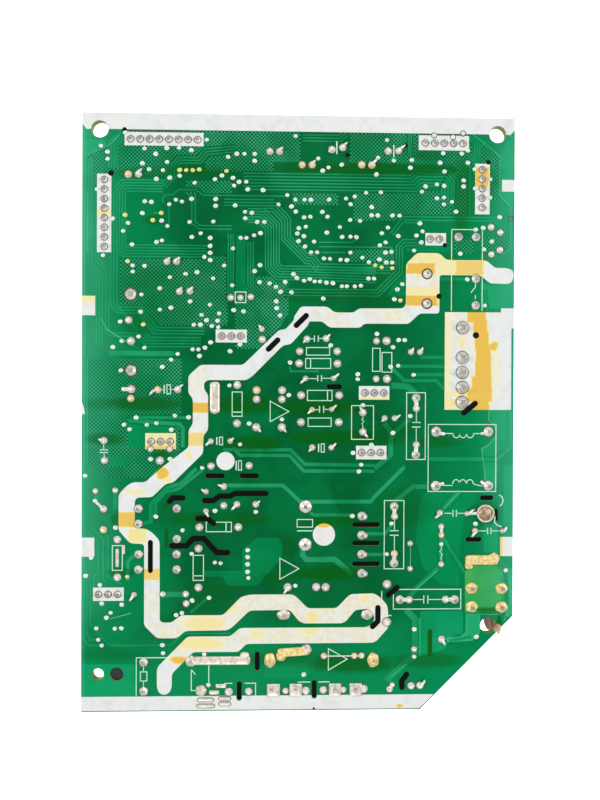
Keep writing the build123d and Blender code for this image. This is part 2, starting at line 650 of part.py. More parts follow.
# ---------------------------------------------------------------- regulator on its heat sink
SINK_LEG_X = LEFT + 12.8
SINK_LEGS = (31.0, 11.1)     # its two solder legs along the board
SINK_BACK = LEFT + 8.4
SINK_METAL = 1.5
SINK_DEPTH = 10.5
REGULATOR_WIDTH = 10.2
REGULATOR_PINS = 2.7         # from the middle of the regulator to its outer leads
TAB_METAL_THICKNESS = 1.3
TAB_HALF = 3.2
SINK_SCREW_HEIGHT = 5.0      # above the surface the board rests on


def heat_sink():
    """Bent channel round the regulator, standing on two solder legs under its side walls."""
    middle = sum(SINK_LEGS) / 2
    width = SINK_LEGS[0] - SINK_LEGS[1] + SINK_METAL
    outer = Rectangle(SINK_DEPTH, width)
    outer = fillet(outer.vertices().group_by(Axis.X)[0], 1.2)
    inner = Pos(SINK_METAL, 0) * Rectangle(SINK_DEPTH, width - 2 * SINK_METAL)
    body = Pos(SINK_BACK + SINK_DEPTH / 2, middle, 0) * extrude(outer - inner, UNDERSIDE - 0.4)
    body -= Pos(SINK_BACK, middle, SINK_SCREW_HEIGHT) * Rot(0, 90, 0) * Cylinder(SCREW_RADIUS, 2 * SINK_METAL)
    for y in SINK_LEGS:
        body += square_pin(SINK_LEG_X, y, 1.1, UNDERSIDE - 0.4)
    return body


def regulator():
    """Moulded body on a metal tab, with two leads up to the board; the middle one is cropped."""
    middle = sum(SINK_LEGS) / 2 + 0.5
    face = SINK_BACK + SINK_METAL
    low = SINK_SCREW_HEIGHT - TAB_HALF
    shoulder = SINK_SCREW_HEIGHT + TAB_HALF
    tab = block(face + TAB_METAL_THICKNESS / 2, middle, TAB_METAL_THICKNESS, REGULATOR_WIDTH, low, shoulder)
    tab -= Pos(face, middle - 0.5, SINK_SCREW_HEIGHT) * Rot(0, 90, 0) * Cylinder(SCREW_RADIUS, 3.0)
    body = block(face + 2.2, middle, 4.4, REGULATOR_WIDTH, shoulder, shoulder + 8.8)
    body = chamfer(body.faces().sort_by(Axis.X)[-1].edges(), 0.5)
    leads = [block(face + 2.6, middle + y, WIRE_SIDE, 0.8, shoulder + 8.8, UNDERSIDE)
             for y in (-REGULATOR_PINS, REGULATOR_PINS)]
    return body + tab, leads


# ---------------------------------------------------------------- chips
# x, y, body width, body length, height, leads on each long side, lead pitch, turn
CHIPS = [
    (36.0, 60.0, 3.9, 9.9, 1.5, 8, 1.27, 0),
    (8.0, 38.5, 3.9, 9.9, 1.5, 8, 1.27, 90),
    (-17.0, 46.0, 3.9, 4.9, 1.5, 4, 1.27, 0),
    (-18.2, -41.0, 3.9, 4.9, 1.5, 4, 1.27, 90),
    (0.4, 24.6, 6.5, 4.4, 2.6, 2, 2.54, 45),
    (-7.0, 18.1, 6.5, 4.4, 2.6, 2, 2.54, 45),
]
CONTROLLER = (-1.0, 52.0, 10.0, 1.5, 11, 0.8)        # x, y, side, height, leads a side, pitch
CHIP_LEAD = 1.1              # how far a lead reaches past the body
CHIP_LEAD_METAL = 0.2


def gull_leads(body, width, pitch, count, thickness=CHIP_LEAD_METAL):
    """Feet on both sides of a chip body, flat on the board."""
    feet = []
    for side in (-1, 1):
        for i in range(count):
            feet.append(block(side * (body / 2 + CHIP_LEAD / 2), pitch * (i - (count - 1) / 2),
                              CHIP_LEAD, width, UNDERSIDE - thickness, UNDERSIDE))
    return feet


def chip(x, y, width, length, height, count, pitch, turn):
    """Moulded chip and its feet."""
    place = Pos(x, y, 0) * Rot(0, 0, turn)
    body = block(0, 0, width, length, UNDERSIDE - height, UNDERSIDE)
    return place * body, [place * foot for foot in gull_leads(width, 0.35 * pitch, pitch, count)]


def controller():
    """Square microcontroller with a bevelled corner and feet on its four sides."""
    x, y, side, height, count, pitch = CONTROLLER
    body = block(0, 0, side, side, UNDERSIDE - height, UNDERSIDE)
    corner = body.edges().filter_by(Axis.Z).sort_by(Axis.X)[:2].sort_by(Axis.Y)[-1]
    body = chamfer(corner, 0.9)
    feet = []
    for turn in (0, 90):
        feet += [Rot(0, 0, turn) * foot for foot in gull_leads(side, 0.35, pitch, count)]
    return Pos(x, y, 0) * body, [Pos(x, y, 0) * foot for foot in feet]


# x, y of the small surface parts, and True where the part lies along the board
CHIP_PASSIVES = [
    (-40.0, 57.0, True), (-37.0, 57.0, True), (-30.0, 58.0, False), (-24.0, 58.5, True),
    (-12.0, 55.0, True), (-12.0, 49.0, True), (-1.0, 44.0, False), (9.0, 55.0, True),
    (9.0, 48.5, True), (12.0, 52.0, True), (20.0, 56.0, True), (24.0, 54.0, True),
    (29.0, 61.0, True), (29.0, 55.5, True), (42.5, 57.0, True), (23.0, 43.0, False),
    (26.0, 37.5, True), (-8.0, 36.0, False), (-3.0, 33.0, False), (-24.0, 43.0, True),
    (-26.0, 25.0, False), (-22.0, 25.5, False), (-45.5, 50.5, True), (-42.5, 48.0, True),
    (-32.5, 14.5, False), (-26.5, 17.5, False), (-42.0, -2.2, False), (-47.0, -53.0, True),
    (-49.5, -57.5, False), (27.0, 10.5, True), (14.5, 13.5, True), (30.0, 24.0, False),
]


def chip_passives():
    """Chip resistors and capacitors flat on the board."""
    parts = []
    for x, y, upright in CHIP_PASSIVES:
        size = (1.25, 2.0) if upright else (2.0, 1.25)
        parts.append(block(x, y, *size, UNDERSIDE - 0.8, UNDERSIDE))
    return parts


# ---------------------------------------------------------------- other small parts
RESONATOR = (-15.6, 30.5)
BUZZER = (RIGHT - 4.5, 45.9, 4.3, 5.5)
POST_X = LEFT + 9.3
POST_Y = BOTTOM + 9.9
POST_RADIUS = 3.2


def resonator():
    """Dipped three-legged resonator."""
    x, y = RESONATOR
    body = block(x, y, 7.6, 3.0, UNDERSIDE - 6.5, UNDERSIDE - 1.0)
    body = chamfer(body.edges().filter_by(Axis.Z), 0.7)
    return body, [wire(x + offset, y, UNDERSIDE - 1.0) for offset in (-2.6, 0, 2.6)]


def buzzer():
    """Round sounder with a sound hole in its free end."""
    x, y, radius, height = BUZZER
    low = UNDERSIDE - height
    body = turned([(0, low + 1.0), (0.9, low + 1.0), (0.9, low), (radius, low), (radius, UNDERSIDE),
                   (0, UNDERSIDE)])
    return Pos(x, y, 0) * body


def support_post():
    """Plastic foot that stands under the board, its spigot in the lower locating hole."""
    foot = rod(POST_X, POST_Y, POST_RADIUS, 0, UNDERSIDE)
    return foot + rod(POST_X, POST_Y, POST_HOLE_RADIUS - 0.1, UNDERSIDE, SOLDER_FACE - 0.4)


# ---------------------------------------------------------------- the board itself
SLOTS = [
    [(-0.9, 23.2), (1.7, 25.8)],
    [(-8.2, 16.9), (-5.8, 19.3)],
    [(7.9, 7.1), (10.6, 7.1)],
    [(RIGHT - 13.3, 0.3), (RIGHT - 10.3, 2.8)],
    [(-24.0, -16.5), (-20.3, -16.5)],
    [(-15.0, -16.5), (-11.3, -16.5)],
    [(-24.8, -23.0), (-22.6, -23.0), (-20.9, -21.8), (-18.2, -21.8), (-16.8, -21.1), (-8.8, -21.1)],
    [(-34.0, -23.2), (-33.2, -22.3), (-30.6, -22.3)],
    [(-26.6, -27.7), (-24.2, -27.7), (-22.5, -29.0)],
    [(-33.4, -34.9), (-29.6, -34.9), (-27.8, -33.0), (-25.0, -33.0), (-21.6, -36.7), (-18.8, -36.7)],
    [(LEFT + 18.0, -34.0), (LEFT + 18.0, -41.4)],
    [(14.8, -29.4), (20.8, -29.4)],
    [(14.8, -34.3), (20.8, -34.3)],
    [(14.8, -39.8), (20.8, -39.8)],
    [(21.0, -51.4), (21.0, -55.0), (19.6, -56.4)],
    [(23.7, -48.1), (26.1, -46.1)],
    [(RIGHT - 8.2, -22.3), (RIGHT - 5.9, -22.3)],
    [(RIGHT - 12.0, -33.4), (RIGHT - 9.0, -33.4)],
    [(-10.9, -63.6), (-10.9, -67.3)],
    [(-15.6, BOTTOM + 3.4), (-15.6, BOTTOM + 7.1)],
    [(4.2, BOTTOM + 3.8), (4.2, BOTTOM + 7.3)],
    [(27.5, BOTTOM + 5.9), (27.4, BOTTOM + 7.5), (28.7, BOTTOM + 9.3)],
]


def circuit_board():
    """Drilled and milled board with one corner cut off."""
    outline = Polyline((LEFT, BOTTOM), (RIGHT - CORNER_CUT, BOTTOM), (RIGHT, BOTTOM + CORNER_CUT),
                       (RIGHT, TOP), (LEFT, TOP), close=True)
    fixings = [(-TOP_HOLE_SPACING / 2, TOP - TOP_HOLE_FROM_TOP, TOP_HOLE_RADIUS),
               (TOP_HOLE_SPACING / 2, TOP - TOP_HOLE_FROM_TOP, TOP_HOLE_RADIUS),
               (LEFT + 4.4, BOTTOM + 9.9, CORNER_HOLE_RADIUS),
               (POST_X, POST_Y, POST_HOLE_RADIUS),
               (RIGHT - 6.6, -56.3, SIDE_HOLE_RADIUS),
               (EYELET_X, EYELET_Y, EYELET_RADIUS)]
    cuts = [Pos(x, y) * Circle(radius) for x, y, radius in fixings]
    for x, y, radius in drilled:
        cuts.append(Pos(x, y) * RegularPolygon(radius, HOLE_SIDES, major_radius=False))
    for route in SLOTS:
        cuts += [milled(start, end) for start, end in zip(route, route[1:])]
    return Pos(0, 0, UNDERSIDE) * extrude(make_face(outline) - cuts, BOARD_THICKNESS)


# ---------------------------------------------------------------- nodes
def all_nodes():
    """Every node of the board, by name; the board comes last because it is drilled for the others."""
    nodes = {}
    for letter, count, x, y, facing in HEADERS:
        nodes["header_" + letter] = header_housing(count, along(facing, x, y))
    nodes["header_pins"] = header_pins()
    nodes["power_header"] = power_header()
    nodes["power_header_pins"] = power_header_pins()

    core_rest, core_board, bobbin, winding = transformer()
    nodes["transformer_core_outer"] = core_rest
    nodes["transformer_core_inner"] = core_board
    nodes["transformer_bobbin"] = bobbin
    nodes["transformer_winding"] = winding
    nodes["transformer_pins"] = transformer_pins()

    core_rest, core_board, bobbin, windings = choke()
    nodes["choke_core_outer"] = core_rest
    nodes["choke_core_inner"] = core_board
    nodes["choke_bobbin"] = bobbin
    nodes["choke_windings"] = windings
    nodes["choke_pins"] = choke_pins()

    nodes["bulk_capacitor"] = bulk_capacitor(BULK_X, BULK_Y, BULK_RADIUS, PARTS_HEIGHT)
    for letter, x, y, length, width, height, upright, _ in FILM_CAPACITORS:
        nodes["film_capacitor_" + letter] = film_capacitor(x, y, length, width, height, upright)
    nodes["bridge_rectifier"], bridge_leads = bridge_rectifier()
    nodes["main_relay"] = relay(*MAIN_RELAY)
    nodes["slim_relay"] = relay(*SLIM_RELAY)
    relay_pins = [square_pin(*spot, STOUT_LEAD_SIDE, UNDERSIDE) for spot in MAIN_RELAY_PINS + SLIM_RELAY_PINS]
    nodes["power_leads"] = capacitor_leads() + bridge_leads + relay_pins

    nodes["surge_varistor"] = coated_disc(*SURGE_VARISTOR)
    nodes["inrush_thermistor"] = coated_disc(*INRUSH_THERMISTOR)
    nodes["disc_thermistor"] = coated_disc(*DISC_THERMISTOR)
    nodes["safety_capacitors"] = [coated_disc(*disc) for disc in SAFETY_CAPACITORS]
    nodes["ceramic_capacitors"] = [dipped_block(*body) for body in CERAMIC_CAPACITORS]
    nodes["ceramic_capacitors"].append(coated_disc(*EDGE_DISC))
    nodes["small_electrolytics"] = [electrolytic(x, y, 2.5, 9.0) for x, y, _, _ in SMALL_ELECTROLYTICS]
    nodes["filter_electrolytics"] = [electrolytic(x, y, 4.6, 12.5) for x, y, _, _ in FILTER_ELECTROLYTICS]
    nodes["resistors"] = [axial_body(*part) for part in RESISTORS]
    nodes["diodes"] = [axial_body(*part) for part in DIODES]

    nodes["fuse_tube"], nodes["fuse_caps"], nodes["fuse_clips"] = fuse()
    nodes["tab_terminals"] = [tab_terminal(x, spacing) for x, spacing in TABS]
    nodes["earth_terminal"] = earth_terminal()
    nodes["earth_eyelet"] = earth_eyelet()
    nodes["heat_sink"] = heat_sink()
    nodes["voltage_regulator"], regulator_leads = regulator()
    middle = sum(SINK_LEGS) / 2
    tab_face = SINK_BACK + SINK_METAL + TAB_METAL_THICKNESS
    nodes["screws"] = [
        screw(Pos(EARTH_X, EARTH_Y, UNDERSIDE - EARTH_TOP), 1.0, 3.0),
        screw(Pos(tab_face, middle, SINK_SCREW_HEIGHT) * Rot(0, -90, 0),
              TAB_METAL_THICKNESS + SINK_METAL, 1.5),
    ]

    nodes["microcontroller"], feet = controller()
    nodes["chips"] = []
    for part in CHIPS:
        body, part_feet = chip(*part)
        nodes["chips"].append(body)
        feet += part_feet
    nodes["chip_feet"] = feet
    nodes["chip_passives"] = chip_passives()
    nodes["ceramic_resonator"], resonator_leads = resonator()
    nodes["buzzer"] = buzzer()
    nodes["support_post"] = support_post()
    nodes["component_leads"] = component_leads(regulator_leads + resonator_leads)
    nodes["circuit_board"] = circuit_board()
    return nodes


def component_leads(leads):
    """Thin leads of all the small parts, from each body to the board, and the bare links."""
    for disc in SAFETY_CAPACITORS + [SURGE_VARISTOR, INRUSH_THERMISTOR, DISC_THERMISTOR, EDGE_DISC]:
        leads += disc_legs(disc)
    for part in CERAMIC_CAPACITORS:
        leads += dipped_legs(part)
    for part in RESISTORS + DIODES:
        leads += bent_wires(*part)
    return leads + [jumper(*link) for link in JUMPERS]


def write(nodes):
    """One STEP file for each node."""
    os.makedirs("parts", exist_ok=True)
    for name, shape in nodes.items():
        solids = shape if isinstance(shape, list) else [shape]
        whole = Compound(children=[solid for piece in solids for solid in piece.solids()])
        whole.label = name
        export_step(whole, "parts/" + name + ".step")


write(all_nodes())
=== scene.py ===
"""Main control board: its soldered side in full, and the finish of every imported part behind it."""

import logging
import math
from dataclasses import dataclass, field
from enum import Enum
from typing import Optional, Sequence, Union

import bmesh
import bpy
from mathutils import Matrix, Vector


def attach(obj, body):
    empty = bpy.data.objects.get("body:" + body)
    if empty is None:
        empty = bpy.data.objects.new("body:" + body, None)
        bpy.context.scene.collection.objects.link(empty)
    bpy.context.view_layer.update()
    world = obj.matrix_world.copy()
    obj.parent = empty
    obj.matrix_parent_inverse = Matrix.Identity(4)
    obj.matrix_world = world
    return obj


LOG = logging.getLogger("control_board")
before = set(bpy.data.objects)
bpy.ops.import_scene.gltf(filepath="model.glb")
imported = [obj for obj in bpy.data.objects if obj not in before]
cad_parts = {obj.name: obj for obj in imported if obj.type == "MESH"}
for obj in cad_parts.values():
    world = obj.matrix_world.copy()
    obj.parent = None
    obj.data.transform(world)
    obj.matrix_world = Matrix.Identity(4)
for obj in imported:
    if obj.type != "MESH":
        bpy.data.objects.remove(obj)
MM = 0.001                      # the frame is in metres, and the sizes here are in millimetres
SOLDERED_FACE = 21.6            # height of the board's soldered face
SINK = 0.02                     # how far every flat layer reaches down into the board
CLEAR = 0.1                     # how far over the face a lead's end has to stand to be soldered
LIFT = 0.00006                  # keeps strips that cross from lying in one plane

Spot = tuple[float, float]
Route = Sequence[Spot]
Spots = tuple[Spot, ...]
Routes = tuple[Spots, ...]
Rows = tuple[tuple[float, ...], ...]
Colour = tuple[float, float, float, float]


class Rise(float, Enum):
    """Height of each layer's top above the soldered face of the board, in millimetres."""

    POUR = 0.012
    GAP = 0.020
    FILLING = 0.030
    TRACK = 0.040
    BAND = 0.052
    RING = 0.062
    PRINT = 0.072
    SLOT = 0.082


def paint(red: int, green: int, blue: int) -> Colour:
    """A colour given in the usual 0 to 255 steps.

    Args:
        red: Red step.
        green: Green step.
        blue: Blue step.

    Returns:
        The same colour in the linear values that a shader takes.
    """
    def linear(step: int) -> float:
        """One channel, made linear."""
        share = step / 255
        return share / 12.92 if share <= 0.04045 else ((share + 0.055) / 1.055) ** 2.4

    return linear(red), linear(green), linear(blue), 1.0


# ---------------------------------------------------------------- node work
class Signal:
    """What one node socket gives; arithmetic on it adds Math nodes."""

    def __init__(self, bench: "Bench", socket: bpy.types.NodeSocket) -> None:
        """Keeps the socket and the bench that it belongs to."""
        self.bench = bench
        self.socket = socket

    def maths(self, operation: str, *values: "Feed") -> "Signal":
        """One Math node.

        Args:
            operation: Name of the Math operation.
            values: Its inputs in order.

        Returns:
            The node's result.
        """
        return self.bench.node("ShaderNodeMath", "Value", {"operation": operation},
                               dict(enumerate(values)))

    def __add__(self, other: "Feed") -> "Signal":
        """Sum."""
        return self.maths("ADD", self, other)

    def __radd__(self, other: "Feed") -> "Signal":
        """Sum, with the signal on the right."""
        return self.maths("ADD", other, self)

    def __sub__(self, other: "Feed") -> "Signal":
        """Difference."""
        return self.maths("SUBTRACT", self, other)

    def __rsub__(self, other: "Feed") -> "Signal":
        """Difference, with the signal on the right."""
        return self.maths("SUBTRACT", other, self)

    def __mul__(self, other: "Feed") -> "Signal":
        """Product."""
        return self.maths("MULTIPLY", self, other)

    def __rmul__(self, other: "Feed") -> "Signal":
        """Product, with the signal on the right."""
        return self.maths("MULTIPLY", other, self)

    def __truediv__(self, other: "Feed") -> "Signal":
        """Quotient."""
        return self.maths("DIVIDE", self, other)

    def __abs__(self) -> "Signal":
        """Size without sign."""
        return self.maths("ABSOLUTE", self)

    def __or__(self, other: "Feed") -> "Signal":
        """The larger of two masks."""
        return self.maths("MAXIMUM", self, other)

    def __and__(self, other: "Feed") -> "Signal":
        """The smaller of two masks."""
        return self.maths("MINIMUM", self, other)

    def sine(self) -> "Signal":
        """Sine of the value in radians."""
        return self.maths("SINE", self)

    def ramp(self, start: float, end: float) -> "Signal":
        """A soft step.

        Args:
            start: Value where the result is 0.
            end: Value where the result is 1; it may be below start.

        Returns:
            The smooth share from 0 to 1.
        """
        low, high = min(start, end), max(start, end)
        rising = self.bench.node("ShaderNodeMapRange", "Result", {"interpolation_type": "SMOOTHSTEP"},
                                 {"Value": self, "From Min": low, "From Max": high})
        return rising if end > start else 1.0 - rising


Feed = Union[Signal, float, Sequence[float]]


class Bench:
    """Node tree of one finish, and the usual ways of filling it."""

    def __init__(self, name: str) -> None:
        """Makes an empty material of that name."""
        self.material = bpy.data.materials.new(name)
        self.material.use_nodes = True
        self.tree = self.material.node_tree
        self.tree.nodes.clear()
        self._place: Optional[Signal] = None

    def node(self, kind: str, output: str, settings: Optional[dict] = None,
             sockets: Optional[dict] = None) -> Signal:
        """Any one node.

        Args:
            kind: Blender's name of the node's type.
            output: Name of the output that is wanted.
            settings: The node's own settings, and "stops" for the colours of a ramp.
            sockets: Values or signals for its inputs, by name or number.

        Returns:
            The chosen output.
        """
        made = self.tree.nodes.new(kind)
        for key, value in (settings or {}).items():
            if key == "stops":
                self._set_stops(made.color_ramp, value)
            else:
                setattr(made, key, value)
        for key, value in (sockets or {}).items():
            if isinstance(value, Signal):
                self.tree.links.new(value.socket, made.inputs[key])
            else:
                made.inputs[key].default_value = value
        return Signal(self, made.outputs[output])

    @staticmethod
    def _set_stops(strip: bpy.types.ColorRamp, stops: Sequence[tuple[float, Colour]]) -> None:
        """Gives a colour ramp its stops."""
        while len(strip.elements) < len(stops):
            strip.elements.new(0.5)
        for element, (share, colour) in zip(strip.elements, stops):
            element.position = share
            element.color = colour

    def place(self) -> Signal:
        """Where a point is, in millimetres in the board's frame."""
        if self._place is None:
            spot = self.node("ShaderNodeTexCoord", "Object")
            self._place = self.vector("SCALE", spot, scale=1 / MM)
        return self._place

    def vector(self, operation: str, first: Feed, second: Feed = (0.0, 0.0, 0.0),
               scale: float = 1.0, output: str = "Vector") -> Signal:
        """One Vector Math node.

        Args:
            operation: Name of the operation.
            first: First vector.
            second: Second vector.
            scale: Factor, for an operation that has one.
            output: Output that is wanted.

        Returns:
            The node's result.
        """
        return self.node("ShaderNodeVectorMath", output, {"operation": operation},
                         {0: first, 1: second, 3: scale})

    def axis(self, letter: str, source: Optional[Signal] = None) -> Signal:
        """One coordinate, of the place unless another vector is given."""
        return self.node("ShaderNodeSeparateXYZ", letter, None, {"Vector": source or self.place()})

    def facing(self) -> Signal:
        """The z part of the surface's direction."""
        return self.axis("Z", self.node("ShaderNodeNewGeometry", "Normal"))

    def noise(self, size: float, detail: float = 2.0, distortion: float = 0.0,
              stretch: Sequence[float] = (1.0, 1.0, 1.0)) -> Signal:
        """Soft random values.

        Args:
            size: Width of one patch, in millimetres.
            detail: Number of finer levels.
            distortion: How far the patches are pulled about.
            stretch: Factor on each axis before the noise is read.

        Returns:
            Values about 0.5.
        """
        where = self.vector("MULTIPLY", self.place(), stretch)
        return self.node("ShaderNodeTexNoise", "Fac", None,
                         {"Vector": where, "Scale": 1 / size, "Detail": detail, "Distortion": distortion})

    def cells(self, size: float) -> Signal:
        """Distance to the nearest of many scattered points, for pits and specks that wide in millimetres."""
        return self.node("ShaderNodeTexVoronoi", "Distance", None,
                         {"Vector": self.place(), "Scale": 1 / size})

    def mix(self, share: Feed, first: Feed, second: Feed) -> Signal:
        """A colour between two.

        Args:
            share: 0 for the first colour, 1 for the second.
            first: Colour at 0.
            second: Colour at 1.

        Returns:
            The mixed colour.
        """
        made = self.tree.nodes.new("ShaderNodeMix")
        made.data_type = "RGBA"
        for socket, value in ((made.inputs[0], share), (made.inputs[6], first), (made.inputs[7], second)):
            if isinstance(value, Signal):
                self.tree.links.new(value.socket, socket)
            else:
                socket.default_value = value
        return Signal(self, made.outputs[2])

    def shades(self, share: Signal, *stops: tuple[float, Colour]) -> Signal:
        """A colour ramp over a value, from its stops."""
        return self.node("ShaderNodeValToRGB", "Color", {"stops": stops}, {"Fac": share})

    def surface(self, colour: Feed, roughness: Feed = 0.5, metallic: Feed = 0.0,
                relief: Optional[Signal] = None, depth: float = 0.05, gloss: float = 0.5,
                coat: float = 0.0, alpha: Feed = 1.0, clear: float = 0.0,
                glow: Optional[Signal] = None) -> bpy.types.Material:
        """Finishes the tree with its shader.

        Args:
            colour: Base colour.
            roughness: Roughness.
            metallic: Metallic share.
            relief: Height for the bump, or nothing.
            depth: Depth of that bump in millimetres.
            gloss: Specular level.
            coat: Weight of a clear coat.
            alpha: How much of the surface is there.
            clear: Transmission of a clear material.
            glow: Colour of the light given off, if any.

        Returns:
            The material.
        """
        sockets: dict = {"Base Color": colour, "Roughness": roughness, "Metallic": metallic,
                         "Specular IOR Level": gloss, "Coat Weight": coat, "Alpha": alpha,
                         "Transmission Weight": clear, "Coat Roughness": 0.12}
        if glow is not None:
            sockets["Emission Color"] = glow
            sockets["Emission Strength"] = 1.0
        if relief is not None:
            sockets["Normal"] = self.node("ShaderNodeBump", "Normal", None,
                                          {"Height": relief, "Strength": 1.0, "Distance": depth * MM})
        shader = self.node("ShaderNodeBsdfPrincipled", "BSDF", None, sockets)
        end = self.tree.nodes.new("ShaderNodeOutputMaterial")
        self.tree.links.new(shader.socket, end.inputs["Surface"])
        return self.material


# ---------------------------------------------------------------- finishes
@dataclass(frozen=True)
class FluxStains:
    """Dried flux: yellow on the white print, olive on the green mask."""

    square: Rows = (
        # on the print: middle x, middle y, half width, half height, depth of colour
        (39, 41.3, 11, 1.3, 0.44), (32, 38.5, 4, 1.5, 0.84), (38.8, 38.5, 2.6, 1.8, 0.4),
        (45, 38.8, 4, 2, 0.72), (32.3, 30, 4.6, 1.4, 0.85), (32.4, 32.5, 4.6, 1, 0.42),
        (47, 25.9, 2.6, 1.6, 0.85), (48, 23, 2, 2, 0.85), (48.4, 19.6, 1.9, 2.6, 0.85),
        (48.8, 15.6, 2.1, 2.6, 0.85), (48.8, 11.8, 2.2, 2.8, 0.85), (48.4, 7.8, 2.8, 2.2, 0.85),
        (47.8, 5, 3.5, 1.8, 0.82), (48, 2.5, 2.5, 1.8, 0.85), (41.5, 3.6, 3.2, 2.6, 0.42),
        (39.3, 12, 0.9, 15, 0.34), (-26.2, 1.4, 2.6, 1.4, 0.84), (-27.1, -6.9, 2.4, 1.8, 0.62),
        (-45.2, -28, 2.4, 2, 0.8), (-42.4, -32.2, 2.4, 1.8, 0.5), (-38.8, -42.4, 2.4, 1.5, 0.7),
        (48.2, 62.8, 1.9, 2.7, 0.8), (-51.2, 52.5, 2, 0.6, 0.5), (-36.4, -7.4, 4.2, 2.2, 0.42),
        (-36.4, -9.1, 4.2, 0.5, 0.75), (20, 3.9, 4.2, 0.4, 0.45), (-55.2, 29.8, 2, 0.9, 0.42),
        (53.9, -35.2, 0.4, 2.8, 0.6),
    )
    round: Rows = (
        (51.6, 18, 1.2, 1.4, 0.85), (-35.9, -15.8, 1.8, 1.7, 0.84), (-34.8, -17.5, 1.5, 0.6, 0.45),
        (-29, -11, 1, 0.9, 0.45), (-31.6, -65, 2.3, 1.1, 0.85), (-25, -55.3, 6.5, 2.2, 0.44),
        (-26, -60.6, 6.5, 1.8, 0.46), (-20, -51, 4.5, 2.2, 0.42), (3.6, -53.8, 1.6, 1.6, 0.5),
        (3, -57.5, 3.2, 1.4, 0.4), (-11, -58.2, 2.2, 1.6, 0.4), (17.5, -49, 1.6, 1.2, 0.45),
        (6.7, -29.4, 2.2, 0.9, 0.82), (26.9, -77.5, 1, 0.5, 0.78), (-43, -20.8, 3.4, 0.7, 0.4),
        (52.3, 13, 0.7, 9, 0.28), (43, 19, 1.2, 1.6, 0.4),
    )
    mottled: Rows = (
        # where the print is speckled with cream
        (10, 25.5, 3, 2, 1), (23, 26, 5, 1.9, 1), (32.5, 35, 4.6, 1.6, 1), (-8, -55, 33, 8.2, 1),
        (-27, 9, 3, 5, 0.6), (42, 21, 3.4, 6, 0.8),
    )
    on_mask: Rows = (
        (20, 64.6, 27, 1.5, 0.9), (43, 57.5, 2.6, 11, 0.7), (-28, 63.7, 13, 1.2, 0.6),
        (-41, 62.8, 8, 1.5, 0.6), (-38, 50.6, 3, 1.2, 0.8), (33.5, 68.5, 4, 1.6, 0.5),
        (8, 31, 20, 1.8, 0.45), (33, 34, 8, 5, 0.35), (48.3, 61.5, 3.6, 5, 0.5), (-42.8, 24, 4, 3.2, 0.4),
        (-33, 32, 13, 8, 0.3), (23, 37.6, 4.5, 3, 0.35), (-41, 2.4, 10, 1.8, 0.9),
        (-52, 2.4, 4, 1.4, 0.4), (-14, 2.4, 9, 2.6, 0.95), (5, 1.6, 11, 2.4, 0.9),
        (-12, -8, 7, 1.9, 0.98), (10, -6.4, 13, 2, 0.95), (25, -5.4, 5, 3, 0.6),
        (36.5, -7.6, 6, 1.5, 0.7), (-51, -6.8, 4.5, 1.5, 0.75), (-36.5, -11, 2.6, 0.9, 0.9),
        (-48, -28, 1.1, 2.4, 0.85), (-22, -27.8, 14, 1.9, 0.7), (8, -28.4, 8, 1.6, 0.8),
        (-2.5, -35, 1.8, 3.4, 0.55), (7.5, -42.2, 9, 1.9, 1), (-6, -43.4, 4, 1.5, 0.7),
        (-46.5, -41.8, 3.4, 1.3, 0.7), (28, -25, 8, 5, 0.45), (49.5, -26.4, 4, 3.6, 0.5),
        (-49, -63.4, 9, 1.6, 0.4), (-25, -48, 8, 4, 0.4), (-3, -64.8, 13, 1.8, 0.5),
        (14, -66.2, 12, 2.4, 0.95), (34, -65.6, 10, 1.8, 0.65), (50.5, -52.2, 3.6, 0.8, 0.9),
        (53.4, -55.6, 0.7, 2.4, 0.9),
    )

    hard_edge: Spot = (1.18, 0.82)      # where a square blot starts and is full, as shares of its size
    soft_edge: Spot = (1.4, 0.6)        # the same for a round one

    def mask(self, bench: Bench, blots: Rows, ragged: float, square: bool = False) -> Signal:
        """How deep the stain is at a point.

        Args:
            bench: Bench of the finish.
            blots: The blots.
            ragged: How uneven their edges are.
            square: Whether they have straight sides and not round ones.

        Returns:
            Depth of colour from 0 to 1.
        """
        uneven = (bench.noise(2.4, 3.0, 0.6) - 0.5) * (2.0 * ragged)
        uneven = uneven + (bench.noise(0.8, 2.0) - 0.5) * ragged
        flat = bench.vector("MULTIPLY", bench.place(), (1.0, 1.0, 0.0))
        deepest: Optional[Signal] = None
        for x, y, half_width, half_height, depth in blots:
            offset = bench.vector("MULTIPLY", bench.vector("SUBTRACT", flat, (x, y, 0.0)),
                                  (1 / half_width, 1 / half_height, 0.0))
            if square:
                reach = (abs(bench.axis("X", offset)) | abs(bench.axis("Y", offset))) + uneven
            else:
                reach = bench.vector("LENGTH", offset, output="Value") + uneven
            share = reach.ramp(*(self.hard_edge if square else self.soft_edge)) * depth
            deepest = share if deepest is None else deepest | share
        return deepest


STAINS = FluxStains()


class Green(Enum):
    """The shades of green that one solder mask shows over what lies under it."""

    BARE = (paint(0, 92, 46), paint(0, 110, 58))
    POUR = (paint(0, 118, 64), paint(2, 132, 78))
    MESH = (paint(24, 140, 86), paint(52, 164, 116))
    TRACK = (paint(16, 132, 80), paint(40, 152, 104))
    OPEN = (paint(4, 136, 84), paint(28, 154, 106))
    # edges of pours: painted highlight, where the mask also lies thin
    EDGE = (paint(70, 182, 132), paint(124, 212, 168))
    PALE = (paint(40, 166, 112), paint(92, 200, 150))
    BLEACHED = (paint(66, 160, 74), paint(112, 190, 92))


